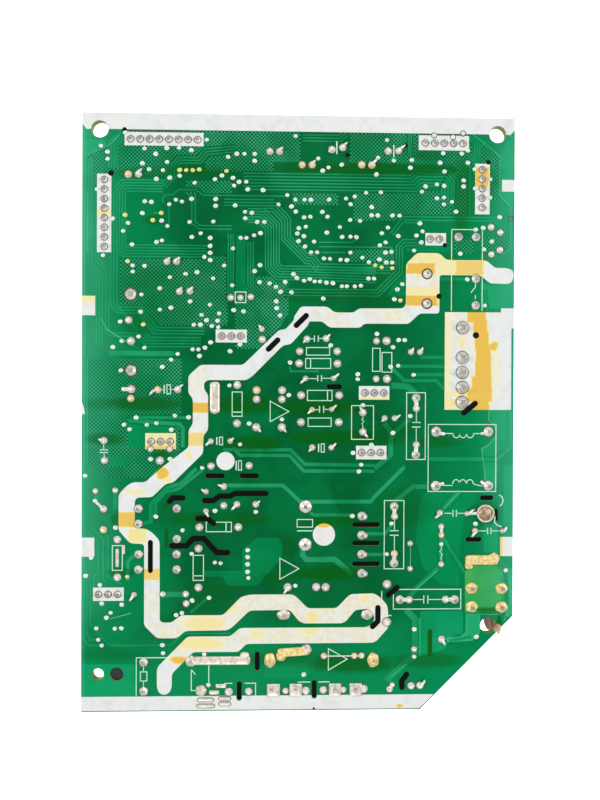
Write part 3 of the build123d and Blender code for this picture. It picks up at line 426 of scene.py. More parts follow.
@dataclass(frozen=True)
class SolderMask:
    """Glossy green mask over bare board, copper, a mesh of copper or a track."""

    name: str
    green: Green
    meshed: bool = False
    mesh_pitch: float = 1.0
    laminate: Colour = paint(112, 122, 56)
    olive: Colour = paint(4, 88, 0)
    lit: Colour = paint(0, 156, 96)
    side_teal: Colour = paint(64, 176, 134)
    between: Colour = paint(0, 62, 30)      # bare board in the openings of the mesh
    weave: Colour = paint(0, 60, 30)
    thread: Colour = paint(146, 150, 84)    # glass threads on the cut edges
    stain_depth: float = 0.8
    thin_stain_depth: float = 0.45          # on the pour edges, where the mask lies thin and a highlight is painted

    def material(self) -> bpy.types.Material:
        """Makes the material."""
        bench = Bench(self.name)
        low, high = self.green.value
        patches = bench.noise(14.0, 3.0, 0.5).ramp(0.36, 0.66)
        colour = bench.mix(patches, low, high)
        x, y = bench.axis("X"), bench.axis("Y")
        lit = (x.ramp(16.0, 50.0) * 0.4) | (x.ramp(-24.0, -50.0) * 0.35) | (y.ramp(-46.0, -70.0) * 0.5)
        colour = bench.mix(lit, colour, self.lit)
        # paler teal towards the left and right sides, fading out towards the bottom, and along the far left
        # edge
        sides = x.ramp(-44.0, -58.0) | x.ramp(46.0, 58.0)
        paler_sides = sides * (0.3 + 0.4 * bench.noise(9.0, 2.0)) * y.ramp(-64.0, -40.0)
        colour = bench.mix(paler_sides + x.ramp(-55.6, -56.6) * 0.3, colour, self.side_teal)
        if self.meshed:
            opened = bench.mix(paler_sides * 0.6, self.between, self.side_teal)
            colour = bench.mix(self._openings(bench), colour, opened)
        depth = self.thin_stain_depth if self.green is Green.EDGE else self.stain_depth
        stain = STAINS.mask(bench, STAINS.on_mask, 0.3) * depth
        colour = bench.mix(stain, colour, self.olive)
        colour = bench.mix((bench.noise(0.35, 1.0) - 0.5) * 0.12 + 0.06, colour, self.weave)
        if self.green is Green.BARE:
            across = abs(bench.facing()).ramp(0.7, 0.3)
            glassy = bench.mix(bench.noise(0.6, 2.0, stretch=(0.3, 0.3, 3.0)), self.laminate, self.thread)
            colour = bench.mix(across, colour, glassy)
        relief = bench.noise(1.6, 3.0) * 0.6 + bench.noise(0.25, 1.0) * 0.4
        roughness = 0.30 + 0.14 * bench.noise(5.0, 3.0) + stain * 0.12
        return bench.surface(colour, roughness, relief=relief, depth=0.02, gloss=0.05)

    def _openings(self, bench: Bench) -> Signal:
        """The little diamonds that the copper mesh leaves open."""
        turn = 2 * math.pi / self.mesh_pitch
        x, y = bench.axis("X") * turn, bench.axis("Y") * turn
        return (x.sine() * y.sine()).ramp(-0.1, 0.3)


@dataclass(frozen=True)
class WhitePrint:
    """Thick white print, a little worn, yellowed where flux dried on it."""

    name: str = "white_print"
    white: Colour = paint(221, 224, 222)
    grey: Colour = paint(206, 210, 209)
    mottle: Colour = paint(226, 214, 158)
    pit: Colour = paint(170, 176, 150)

    def material(self) -> bpy.types.Material:
        """Makes the material."""
        bench = Bench(self.name)
        worn = bench.noise(3.0, 4.0, 0.4).ramp(0.45, 0.75)
        colour = bench.mix(worn * 0.7, self.white, self.grey)
        pits = bench.cells(0.55).ramp(0.16, 0.05) * bench.noise(6.0, 2.0).ramp(0.42, 0.62)
        colour = bench.mix(pits * 0.5, colour, self.pit)
        specks = bench.noise(1.3, 2.0, 0.3).ramp(0.56, 0.66) * bench.noise(11.0, 2.0).ramp(0.46, 0.64) * 0.5
        dried = bench.noise(1.1, 4.0, 0.5).ramp(0.42, 0.66)
        dried = dried * STAINS.mask(bench, STAINS.mottled, 0.3, square=True)
        colour = bench.mix(specks | dried * 0.85, colour, self.mottle)
        stain = (STAINS.mask(bench, STAINS.square, 0.16, square=True)
                 | STAINS.mask(bench, STAINS.round, 0.42))
        yellow = bench.shades(stain, (0.0, paint(226, 225, 216)), (0.28, paint(229, 224, 190)),
                              (0.5, paint(231, 216, 146)), (0.85, paint(222, 180, 74)),
                              (1.0, paint(210, 158, 58)))
        colour = bench.mix(stain.ramp(0.02, 0.3), colour, yellow)
        relief = bench.noise(0.4, 3.0) - pits
        return bench.surface(colour, 0.55 - stain * 0.2, relief=relief, depth=0.02, gloss=0.25)


PRINT = WhitePrint().material()


@dataclass(frozen=True)
class Solder:
    """Bright solder with a slightly frosted skin and brown flux round its foot."""

    name: str
    metal: Colour = paint(248, 248, 245)
    dull: Colour = paint(212, 208, 203)
    residue: Colour = paint(92, 82, 50)
    foot: float = 0.16          # height of the flux line, in millimetres
    grain: float = 0.5
    smooth: float = 0.22
    shine: float = 0.42         # share of the light that it mirrors as metal

    def material(self) -> bpy.types.Material:
        """Makes the material."""
        bench = Bench(self.name)
        frost = bench.noise(self.grain, 3.0)
        colour = bench.mix(frost.ramp(0.4, 0.7), self.metal, self.dull)
        height = bench.axis("Z") - SOLDERED_FACE
        line = height + (bench.noise(0.9, 2.0) - 0.5) * 0.2
        skirt = line.ramp(self.foot, 0.02)
        colour = bench.mix(skirt * 0.75, colour, self.residue)
        roughness = self.smooth + 0.22 * frost + skirt * 0.2
        metallic = self.shine - skirt * (self.shine * 0.8)
        return bench.surface(colour, roughness, metallic, bench.noise(self.grain, 2.0), 0.05)


@dataclass(frozen=True)
class DarkLine:
    """Dark flat finish: painted shadow on bare board, and the rims of joints where the mask stops short."""

    # the default finish serves the joints' dark rims and the painted shadow along the print
    name: str = "mask_opening_and_print_shadow"
    colour: Colour = paint(52, 66, 40)
    second: Colour = paint(96, 96, 64)
    gloss: float = 0.5

    def material(self) -> bpy.types.Material:
        """Makes the material."""
        bench = Bench(self.name)
        colour = bench.mix(bench.noise(0.7, 2.0), self.colour, self.second)
        return bench.surface(colour, 0.5 + 0.2 * bench.noise(0.5), relief=bench.noise(0.3), depth=0.02,
                             gloss=self.gloss)


@dataclass(frozen=True)
class Moulded:
    """Moulded or dipped plastic: grain, slow colour drift and specks of the second colour."""

    name: str
    colour: Colour
    second: Colour
    roughness: float = 0.45
    grain: float = 0.18         # width of the moulded grain
    depth: float = 0.02
    drift: float = 4.0          # width of the slow changes of colour
    gloss: float = 0.4
    coat: float = 0.0
    clear: float = 0.0

    def material(self) -> bpy.types.Material:
        """Makes the material."""
        bench = Bench(self.name)
        colour = bench.mix(bench.noise(self.drift, 3.0, 0.4).ramp(0.3, 0.7), self.colour, self.second)
        colour = bench.mix(bench.cells(self.grain * 3).ramp(0.2, 0.0) * 0.25, colour, self.second)
        relief = bench.noise(self.grain, 2.0) + bench.noise(self.grain * 8, 2.0) * 0.5
        roughness = self.roughness + 0.16 * (bench.noise(self.drift * 0.6, 2.0) - 0.5)
        return bench.surface(colour, roughness, relief=relief, depth=self.depth, gloss=self.gloss,
                             coat=self.coat, clear=self.clear)


class Lay(Enum):
    """Which way a metal's fine lines run, as factors on the three axes."""

    ALONG_X = (0.06, 1.0, 1.0)
    ALONG_Y = (1.0, 0.06, 1.0)
    ALONG_Z = (1.0, 1.0, 0.06)
    NONE = (1.0, 1.0, 1.0)


@dataclass(frozen=True)
class Plated:
    """Rolled, drawn or plated metal, with lines along its lay and dull patches."""

    name: str
    metal: Colour
    dull: Colour
    lay: Lay = Lay.NONE
    roughness: float = 0.3
    line: float = 0.12
    depth: float = 0.012

    def material(self) -> bpy.types.Material:
        """Makes the material."""
        bench = Bench(self.name)
        lines = bench.noise(self.line, 2.0, stretch=self.lay.value)
        tarnish = bench.noise(3.5, 4.0, 0.6).ramp(0.45, 0.72)
        colour = bench.mix(tarnish * 0.6 + lines * 0.3, self.metal, self.dull)
        roughness = self.roughness + 0.16 * lines + tarnish * 0.14
        return bench.surface(colour, roughness, 1.0, lines, self.depth)


@dataclass(frozen=True)
class CapacitorSleeve:
    """Shrunk sleeve on the sides of a can, and bare aluminium on its flat top."""

    name: str = "capacitor_sleeve"
    sleeve: Colour = paint(24, 28, 40)
    fold: Colour = paint(40, 46, 62)
    can: Colour = paint(186, 188, 190)
    brushing: Colour = paint(150, 152, 156)

    def material(self) -> bpy.types.Material:
        """Makes the material."""
        bench = Bench(self.name)
        top = (0.0 - bench.facing()).ramp(0.7, 0.9)
        creases = bench.noise(0.5, 2.0, 0.3, (1.0, 1.0, 0.12))
        colour = bench.mix(creases.ramp(0.4, 0.75), self.sleeve, self.fold)
        brushed = bench.mix(bench.noise(0.25, 2.0, stretch=(0.1, 1.0, 1.0)), self.can, self.brushing)
        colour = bench.mix(top, colour, brushed)
        return bench.surface(colour, 0.26 + 0.1 * creases, top, creases + bench.noise(0.2), 0.02)


@dataclass(frozen=True)
class WoundLayers:
    """Tape or wire wound layer on layer, with lines across one axis at the pitch of the turns, and painted
    shade in the grooves between them.
    """

    name: str
    colour: Colour
    # painted shade in the grooves between turns, also the colour of random darker patches
    groove_shade_and_patches: Colour
    pitch: float
    axis: str = "Z"
    metallic: float = 0.0
    roughness: float = 0.3
    depth: float = 0.08

    def material(self) -> bpy.types.Material:
        """Makes the material."""
        bench = Bench(self.name)
        wander = (bench.noise(2.5, 2.0) - 0.5) * 0.5
        turns = abs(((bench.axis(self.axis) + wander * self.pitch) * (math.pi / self.pitch)).sine())
        # painted shade: darker in the grooves between the turns
        colour = bench.mix(turns.ramp(0.45, 0.05), self.colour, self.groove_shade_and_patches)
        colour = bench.mix(bench.noise(3.0, 2.0).ramp(0.4, 0.8) * 0.4, colour, self.groove_shade_and_patches)
        return bench.surface(colour, self.roughness + 0.12 * bench.noise(0.8), self.metallic,
                             turns.ramp(0.0, 0.6) + bench.noise(0.3) * 0.15, self.depth, coat=0.3)


@dataclass(frozen=True)
class PaleFloor:
    """White paper sweep that glows evenly, with a painted shadow under the board where its glow is cut out.
    """

    name: str = "paper_floor"
    shade_half: Spot = (57.5, 79.0)     # half sizes of the painted shadow under the board, where the paper does not glow
    shade_middle: Spot = (0.5, -2.5)

    def material(self) -> bpy.types.Material:
        """Makes the material: glowing paper, with a painted shadow where the board stands over it."""
        bench = Bench(self.name)
        colour = bench.mix(bench.noise(60.0, 2.0), paint(252, 252, 252), paint(250, 250, 249))
        offset = bench.vector("SUBTRACT", bench.place(), (*self.shade_middle, 0.0))
        across = abs(bench.axis("X", offset)) - self.shade_half[0]
        along = abs(bench.axis("Y", offset)) - self.shade_half[1]
        # the glow stops in a painted shadow under the board, with its corners cut
        open_paper = (across | along).ramp(-1.0, 3.0) | (across + along).ramp(-24.0, -20.0)
        glow = bench.mix(open_paper, (0.0, 0.0, 0.0, 1.0), (1.0, 1.0, 1.0, 1.0))
        return bench.surface(colour, 0.9, gloss=0.1, glow=glow)


# ---------------------------------------------------------------- mesh work
class Sculpt:
    """A mesh in the making, in millimetres in the board's frame."""

    def __init__(self) -> None:
        """Starts empty."""
        self.mesh = bmesh.new()

    def _skin(self, rings: Sequence[Sequence[bmesh.types.BMVert]], round_off: bool = True) -> None:
        """Joins one ring of points to the next with faces."""
        for lower, upper in zip(rings, rings[1:]):
            count = len(lower)
            for i in range(count):
                face = self.mesh.faces.new((lower[i], lower[(i + 1) % count],
                                            upper[(i + 1) % count], upper[i]))
                face.smooth = round_off

    def _cap(self, ring: Sequence[bmesh.types.BMVert], up: bool = True, round_off: bool = True) -> None:
        """Closes a ring of points with one face."""
        face = self.mesh.faces.new(ring if up else list(reversed(ring)))
        face.smooth = round_off

    def turned(self, x: float, y: float, base: float, profile: Sequence[Spot], sides: int = 16,
               stretch: Spot = (1.0, 1.0), turn: float = 0.0, ragged: float = 0.0) -> None:
        """A turned shape, closed at both ends.

        Args:
            x: Middle, across the board.
            y: Middle, up the board.
            base: Height of the profile's zero.
            profile: Radius and height of each ring, from the bottom up.
            sides: Number of sides.
            stretch: Factors along and across the shape.
            turn: Angle of the long way, in degrees.
            ragged: How uneven its outline is, as a share.
        """
        spin = Matrix.Rotation(math.radians(turn), 2)
        rings = []
        for radius, height in profile:
            ring = []
            for i in range(sides):
                angle = math.tau * i / sides
                uneven = 1 + ragged * math.sin(3 * angle + x) * math.cos(2 * angle + y)
                flat = spin @ Vector((math.cos(angle) * radius * uneven * stretch[0],
                                      math.sin(angle) * radius * uneven * stretch[1]))
                ring.append(self.mesh.verts.new((x + flat.x, y + flat.y, base + height)))
            rings.append(ring)
        self._skin(rings)
        self._cap(rings[0], up=False)
        self._cap(rings[-1])

    def ring(self, x: float, y: float, inner: float, outer: float, low: float, high: float,
             sides: int = 24) -> None:
        """A flat washer."""
        profile = ((inner, low), (outer, low), (outer, high), (inner, high))
        rings = [[self.mesh.verts.new((x + math.cos(math.tau * i / sides) * radius,
                                       y + math.sin(math.tau * i / sides) * radius, height))
                  for i in range(sides)] for radius, height in profile]
        self._skin(rings + rings[:1], round_off=False)

    def ribbon(self, route: Route, width: float, low: float, high: float, closed: bool = False) -> None:
        """A flat strip of even width along a route, mitred at its corners.

        Args:
            route: Points along its middle.
            width: Its width.
            low: Height of its underside.
            high: Height of its top.
            closed: Whether the last point runs on to the first.
        """
        points = [Vector(point) for point in route]
        if closed:
            points = [points[-1], *points, points[0], points[1]]
        sides = []
        for i, point in enumerate(points):
            before = (point - points[i - 1]).normalized() if i else None
            after = (points[i + 1] - point).normalized() if i + 1 < len(points) else None
            heading = (before or after) + (after or before)
            heading = heading.normalized() if heading.length > 1e-6 else (before or after)
            reach = width / 2 / max(0.4, heading.dot(before or after))
            across = Vector((-heading.y, heading.x)) * reach
            sides.append((point + across, point - across))
        if closed:
            sides = sides[1:-1]
        rows = [[self.mesh.verts.new((*side, height)) for side, height in
                 ((left, low), (right, low), (right, high), (left, high))] for left, right in sides]
        self._skin(rows, round_off=False)
        if not closed:
            self._cap(rows[0], up=False, round_off=False)
            self._cap(rows[-1], round_off=False)

    def plate(self, loops: Sequence[Route], low: float, high: float) -> None:
        """A flat plate between two heights; a loop inside another is a hole.

        Args:
            loops: Outlines and holes.
            low: Height of its underside.
            high: Height of its top.
        """
        curve = bpy.data.curves.new("plate_outline", "CURVE")
        curve.dimensions = "2D"
        curve.fill_mode = "BOTH"
        curve.extrude = (high - low) / 2
        for loop in loops:
            spline = curve.splines.new("POLY")
            spline.points.add(len(loop) - 1)
            for point, (x, y) in zip(spline.points, loop):
                point.co = (x, y, 0.0, 1.0)
            spline.use_cyclic_u = True
        holder = bpy.data.objects.new("plate_outline", curve)
        filled = bpy.data.meshes.new_from_object(holder)
        filled.transform(Matrix.Translation((0.0, 0.0, (high + low) / 2)))
        self.mesh.from_mesh(filled)
        bpy.data.meshes.remove(filled)
        bpy.data.objects.remove(holder)
        bpy.data.curves.remove(curve)

    def layer(self, loops: Sequence[Route], rise: float) -> None:
        """A flat plate in the board's face that stands that high above it; inner loops are holes."""
        self.plate(loops, SOLDERED_FACE - SINK, SOLDERED_FACE + rise)

    def line(self, route: Route, width: float, rise: float, lift: float = 0.0, closed: bool = False) -> None:
        """A flat strip in the board's face.

        Args:
            route: Points along its middle.
            width: Its width.
            rise: Height of its top above the board's face.
            lift: A hair's breadth more above, and below, that keeps it out of its neighbours' planes.
            closed: Whether the last point runs on to the first.
        """
        self.ribbon(route, width, SOLDERED_FACE - SINK - abs(lift), SOLDERED_FACE + rise + lift, closed)

    def rim(self, x: float, y: float, inner: float, outer: float, rise: float = Rise.RING) -> None:
        """A flat ring in the board's face."""
        self.ring(x, y, inner, outer, SOLDERED_FACE - SINK, SOLDERED_FACE + rise)

    def tube(self, route: Sequence[Sequence[float]], radii: Sequence[float], sides: int = 8) -> None:
        """A round rod through points in space, with its own radius at each.

        Args:
            route: Points along its middle.
            radii: Radius at each point.
            sides: Number of sides.
        """
        points = [Vector(point) for point in route]
        rings = []
        for i, point in enumerate(points):
            heading = (points[min(i + 1, len(points) - 1)] - points[max(i - 1, 0)]).normalized()
            lean = Vector((1.0, 0.0, 0.0)) if abs(heading.x) < 0.8 else Vector((0.0, 1.0, 0.0))
            first = heading.cross(lean).normalized()
            second = heading.cross(first)
            rings.append([self.mesh.verts.new(point + (first * math.cos(math.tau * k / sides)
                                                       + second * math.sin(math.tau * k / sides))
                                              * radii[i]) for k in range(sides)])
        self._skin(rings)
        self._cap(rings[0], up=False)
        self._cap(rings[-1])

    def lump(self, x: float, y: float, base: float, width: float, length: float, height: float,
             turn: float = 0.0, edge: float = 0.35) -> None:
        """A pillow of solder with a rounded rim.

        Args:
            x: Middle, across the board.
            y: Middle, up the board.
            base: Height that it lies on.
            width: Size along x before it is turned.
            length: Size along y before it is turned.
            height: Its height.
            turn: Angle in degrees.
            edge: Radius of the corners, as a share of the shorter side.
        """
        corner = min(width, length) * edge
        spin = Matrix.Rotation(math.radians(turn), 2)
        outline = rounded([(-width / 2, -length / 2), (width / 2, -length / 2),
                           (width / 2, length / 2), (-width / 2, length / 2)], corner, 4)
        rings = []
        for shrink, lift in ((0.0, 0.0), (0.05, 0.45), (0.2, 0.78), (0.45, 0.95), (0.8, 1.0)):
            inset = shrink * min(width, length) / 2
            ring = []
            for px, py in outline:
                sx = (px * (1 - inset / (width / 2)))
                sy = (py * (1 - inset / (length / 2)))
                flat = spin @ Vector((sx, sy))
                ripple = 1 + 0.12 * math.sin(1.9 * (x + flat.x) + 1.1 * (y + flat.y))
                ring.append(self.mesh.verts.new((x + flat.x, y + flat.y, base + height * lift * ripple)))
            rings.append(ring)
        self._skin(rings)
        self._cap(rings[0], up=False)
        self._cap(rings[-1])

    def piece(self, name: str, material: bpy.types.Material, slot: str = "board") -> bpy.types.Object:
        """Turns the mesh into a piece of the board.

        Args:
            name: The piece's name.
            material: Its finish.
            slot: Not used.

        Returns:
            The piece, riding on the board.
        """
        bmesh.ops.recalc_face_normals(self.mesh, faces=self.mesh.faces)
        bmesh.ops.scale(self.mesh, vec=(MM, MM, MM), verts=self.mesh.verts)
        data = bpy.data.meshes.new(name)
        self.mesh.to_mesh(data)
        self.mesh.free()
        data.materials.append(material)
        made = bpy.data.objects.new(name, data)
        bpy.context.scene.collection.objects.link(made)
        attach(made, "root")
        LOG.info("%s: %d faces", name, len(data.polygons))
        return made


def rounded(corners: Route, radius: float, steps: int = 3) -> list[Spot]:
    """A closed outline with its corners rounded.

    Args:
        corners: The sharp outline.
        radius: Radius of the corners, where the sides are long enough.
        steps: Number of pieces in each rounded corner.

    Returns:
        The outline's points.
    """
    points = [Vector(corner) for corner in corners]
    result: list[Spot] = []
    for i, point in enumerate(points):
        before, after = points[i - 1] - point, points[(i + 1) % len(points)] - point
        cut = min(radius, before.length * 0.45, after.length * 0.45)
        start, end = point + before.normalized() * cut, point + after.normalized() * cut
        for k in range(steps + 1):
            t = k / steps
            result.append(tuple(start * (1 - t) ** 2 + point * 2 * t * (1 - t) + end * t * t))
    return result


def capsule(start: Spot, end: Spot, width: float, steps: int = 8) -> list[Spot]:
    """Outline of a slot with round ends, from one end's middle to the other's."""
    first, last = Vector(start), Vector(end)
    heading = math.atan2(last.y - first.y, last.x - first.x)
    outline = []
    for middle, begin in ((last, heading - math.pi / 2), (first, heading + math.pi / 2)):
        for k in range(steps + 1):
            angle = begin + math.pi * k / steps
            outline.append((middle.x + math.cos(angle) * width / 2, middle.y + math.sin(angle) * width / 2))
    return outline


def circle(x: float, y: float, radius: float, sides: int = 28) -> list[Spot]:
    """Outline of a round hole or disc."""
    return [(x + math.cos(math.tau * i / sides) * radius, y + math.sin(math.tau * i / sides) * radius)
            for i in range(sides)]


def oblong(left: float, bottom: float, right: float, top: float) -> list[Spot]:
    """Corners of an upright rectangle."""
    return [(left, bottom), (right, bottom), (right, top), (left, top)]


def beside(route: Route, offset: float) -> list[Spot]:
    """The same route moved sideways, to the left of its run where the offset is positive."""
    points = [Vector(point) for point in route]
    moved = []
    for i, point in enumerate(points):
        before = (point - points[i - 1]).normalized() if i else None
        after = (points[i + 1] - point).normalized() if i + 1 < len(points) else None
        heading = ((before or after) + (after or before)).normalized()
        reach = offset / max(0.4, heading.dot(before or after))
        moved.append((point.x - heading.y * reach, point.y + heading.x * reach))
    return moved


def bus(route: Route, count: int, pitch: float) -> list[list[Spot]]:
    """Parallel routes side by side, spread evenly about one route."""
    return [beside(route, (i - (count - 1) / 2) * pitch) for i in range(count)]


# ---------------------------------------------------------------- the soldered face
@dataclass
class MilledSlots:
    """Slots cut through the board, which the print and the copper leave open, with black plates of painted
    shadow for their dark insides.
    """

    width: float = 1.3
    shadow_plate_depth: float = 0.55        # how far below the soldered face the black plate of painted shadow inside a slot lies
    board: float = 1.6          # thickness of the board
    play: float = 0.1           # how much wider the shadow plate is, and how thick it is
    lap: float = 0.14           # how much wider the mouth of a slanted slot is
    cover: float = 0.3          # how much wider the cover over a drilled run is, and how deep it goes
    skin: float = 0.03          # how far the covers stand off the other face
    routes: Routes = (
        ((-0.9, 23.2), (1.7, 25.8)), ((-8.2, 16.9), (-5.8, 19.3)), ((7.9, 7.1), (10.6, 7.1)),
        ((43.7, 0.3), (46.7, 2.8)), ((-24, -16.5), (-20.3, -16.5)), ((-15, -16.5), (-11.3, -16.5)),
        ((-24.8, -23), (-22.6, -23), (-20.9, -21.8), (-18.2, -21.8), (-16.8, -21.1), (-8.8, -21.1)),
        ((-34, -23.2), (-33.2, -22.3), (-30.6, -22.3)), ((-26.6, -27.7), (-24.2, -27.7), (-22.5, -29)),
        ((-33.4, -34.9), (-29.6, -34.9), (-27.8, -33), (-25, -33), (-21.6, -36.7), (-18.8, -36.7)),
        ((-39, -34), (-39, -41.4)), ((14.8, -29.4), (20.8, -29.4)), ((14.8, -34.3), (20.8, -34.3)),
        ((14.8, -39.8), (20.8, -39.8)), ((21, -51.4), (21, -55), (19.6, -56.4)),
        ((23.7, -48.1), (26.1, -46.1)), ((48.8, -22.3), (51.1, -22.3)), ((45, -33.4), (48, -33.4)),
        ((-10.9, -63.6), (-10.9, -67.3)), ((-15.6, -75.1), (-15.6, -71.4)), ((4.2, -74.7), (4.2, -71.2)),
        ((27.5, -72.6), (27.4, -71), (28.7, -69.2)),
    )
    nick: tuple[Spot, Spot] = ((52.5, -25.5), (52.6, -28.0))    # a short slot that doesn't go through, shown as a black plate of painted shadow
    nick_width: float = 0.7

    def build(self) -> None:
        """Makes black plates of painted shadow inside the straight slots, and for the slanted slots covers
        and black mouths of painted shadow on both faces.
        """
        inside, mouths, fillings = Sculpt(), Sculpt(), Sculpt()
        floor = SOLDERED_FACE - self.shadow_plate_depth
        under = SOLDERED_FACE - self.board
        for step, route in enumerate(self.routes):
            runs = list(zip(route, route[1:]))
            if not any(self._slanted(*run) for run in runs):
                for run in runs:
                    # black plate of painted shadow inside the slot
                    wall = capsule(*run, self.width + self.play)
                    inside.plate([wall], floor, floor + self.play + step * LIFT)
                continue
            for turn, run in enumerate(runs):
                lift = (step * 6 + turn) * LIFT
                # black mouth of painted shadow, on the soldered face and on the underside
                mouth = capsule(*run, self.width + self.lap)
                mouths.layer([mouth], Rise.SLOT + lift)
                mouths.plate([mouth], under - 2 * self.skin - lift, under + SINK)
                if self._slanted(*run):
                    (x1, y1), (x2, y2) = run
                    cover = capsule((x1, y2), (x2, y1), self.width + self.cover)
                    top = SOLDERED_FACE + Rise.FILLING + lift
                    fillings.plate([cover], SOLDERED_FACE - self.cover, top)
                    fillings.plate([cover], under - self.skin - lift, under + self.cover)
        mouths.layer([capsule(*self.nick, self.nick_width)], Rise.PRINT)
        # near-black painted shadow for the slots' insides, their mouths and the nick
        black = DarkLine("painted_slot_shadow", paint(1, 2, 1), paint(4, 5, 3), 0.12).material()
        inside.piece("painted_slot_shadows", black)
        mouths.piece("slanted_slot_shadows", black)
        fillings.piece("slot_fillings", SolderMask("mask_over_filling", Green.BARE).material())

    @staticmethod
    def _slanted(start: Spot, end: Spot) -> bool:
        """Whether a run is neither level nor upright on the board."""
        return abs(start[0] - end[0]) > 0.2 and abs(start[1] - end[1]) > 0.2


SLOTS = MilledSlots()


@dataclass
class CopperAreas:
    """Copper under the mask: meshed grounds, solid pours and open light fields."""

    meshed: Routes = (
        ((-55.6, 62.6), (-50.6, 62.6), (-34.6, 62), (-34, 66), (-31.6, 67.4), (-27, 67.4), (-25, 69),
         (-25, 63.5), (-7, 63.5), (-7, 66.2), (0, 66.2), (0, 74), (-46.5, 74), (-47.4, 72.6), (-50, 70),
         (-55.6, 67.5)),
        ((13, 66.2), (41, 66.2), (41, 52), (45.4, 52), (45.4, 74), (13, 74)),
        ((45.9, 57), (53, 57), (53, 68.6), (46.6, 73.6), (45.9, 73.6)),
        ((14, 51), (40, 51), (40, 59), (14, 59)), ((-2, 55), (10, 55), (10, 58), (-2, 58)),
        ((-47, 28), (-36, 23), (-19, 23), (-19, 41.2), (-47, 41.2)),
        ((-30, 57), (-18, 57), (-18, 61), (-30, 61)),
        ((-17, 17), (-9.5, 17), (-4.5, 24), (-3, 26), (-3, 36), (-17, 36)),
        ((13, 40), (25, 40), (25, 44), (13, 44)), ((41, 42.6), (46, 42.6), (46, 47), (41, 47)),
        ((48, 42.6), (55, 42.6), (55, 47), (48, 47)),
        ((-55.4, -13), (-50, -17), (-38, -17), (-31, -9.5), (-31, 14.2), (-55.4, 14.2)),
    )
    solid: Routes = (
        ((-45, -9), (-34, -9), (-34, -3), (-45, -3)),
        ((-50, -14), (-45, -14), (-45, -11.5), (-50, -11.5)),
        ((-15, -36), (-11, -32.8), (-5.5, -32.8), (-4.3, -34.5), (-4.3, -37.5), (-6, -40), (-11, -45.5),
         (-19, -45.5), (-20, -43), (-25, -43), (-25, -41.5), (-15, -41.5)),
        ((23, 31), (28, 31), (28, 38), (26.8, 38)), ((28, 43), (39.5, 43), (39.5, 45.5), (28, 45.5)),
        ((-16.8, 32), (-14.2, 32), (-14.2, 47), (-16.8, 47)),
        ((-9, -70), (2.5, -70), (2.5, -66), (-9, -66)),
        ((33, -21), (47, -21), (47, -24), (44.2, -25.5), (42.7, -37), (42.7, -45.5), (38, -45.5),
         (33, -41), (31, -33), (32, -24)),
    )
    light: Routes = (
        ((48, 28), (57, 28), (57, 35), (51, 34.3), (48, 35)),
        ((54.4, -13.5), (56.9, -13.5), (56.9, -32.5), (54.4, -32.5)),
        ((49.1, -29), (52.8, -29), (52.8, -36.8), (49.1, -36.8)),
        ((32.3, -52.4), (43.7, -52.4), (43.7, -58.4), (41, -59), (38.6, -62.6), (32.3, -64.4)),
        ((46.6, 69.4), (49.6, 72), (46.6, 73.8)),
        ((50.6, 1), (57, 1), (57, -9), (53, -12.6), (52.6, -20), (49.6, -20), (49.2, -12), (48.5, -10),
         (49, -8.9), (52.7, -5.2), (51.4, -2.4)),
        ((53.3, 57.6), (56.6, 54.6), (56.6, 74), (55.6, 74), (53.3, 69.2)),
        ((-56.9, 62), (-55.8, 62), (-55.8, 67.4), (-50.2, 69.8), (-51.4, 71.6), (-54.2, 71.2),
         (-56.9, 71.9)),
    )
    pale: Routes = (
        ((44.4, -53.2), (44.4, -58), (43, -59.2), (39.4, -59.5), (39.4, -60.7), (46.4, -60.4),
         (48.2, -58.6), (48.2, -53.2)),
        ((55.6, -41), (56.9, -41), (56.9, -53.2), (56, -54.2), (54.9, -53.4), (56, -50)),
    )
    corner: Routes = (
        ((-57, -74.5), (-43, -74.5), (-43, -66), (-57, -66)),
    )
    bleached: Routes = (
        ((44.2, -52.9), (53.2, -52.9), (54.2, -50), (54.2, -42), (52.6, -40.3), (44.2, -40.3)),
    )
    bend: float = 0.4           # radius of the corners
    corner_holes: Rows = ((-52.6, -68.6, 1.6), (-47.7, -68.6, 1.8))

    def build(self) -> None:
        """Makes each kind of copper as a piece of its own."""
        for name, areas, finish, lift in (
                ("meshed_ground", self.meshed, SolderMask("mask_over_mesh", Green.MESH, meshed=True), 0.0),
                ("solid_pours", self.solid, SolderMask("mask_over_copper", Green.POUR), 0.002),
                ("light_fields", self.light, SolderMask("mask_over_light_field", Green.OPEN), 0.004),
                ("pale_fields", self.pale, SolderMask("mask_over_pale_field", Green.PALE), 0.006),
                ("lower_corner", self.corner, SolderMask("mask_in_corner", Green.OPEN), 0.004),
                ("bleached_field", self.bleached, SolderMask("bleached_mask", Green.BLEACHED), 0.004)):
            holes = [circle(*hole) for hole in self.corner_holes] if areas is self.corner else []
            sheet = Sculpt()
            for step, area in enumerate(areas):
                sheet.layer([rounded(area, self.bend), *holes], Rise.POUR + lift + step * LIFT)
            sheet.piece(name, finish.material())


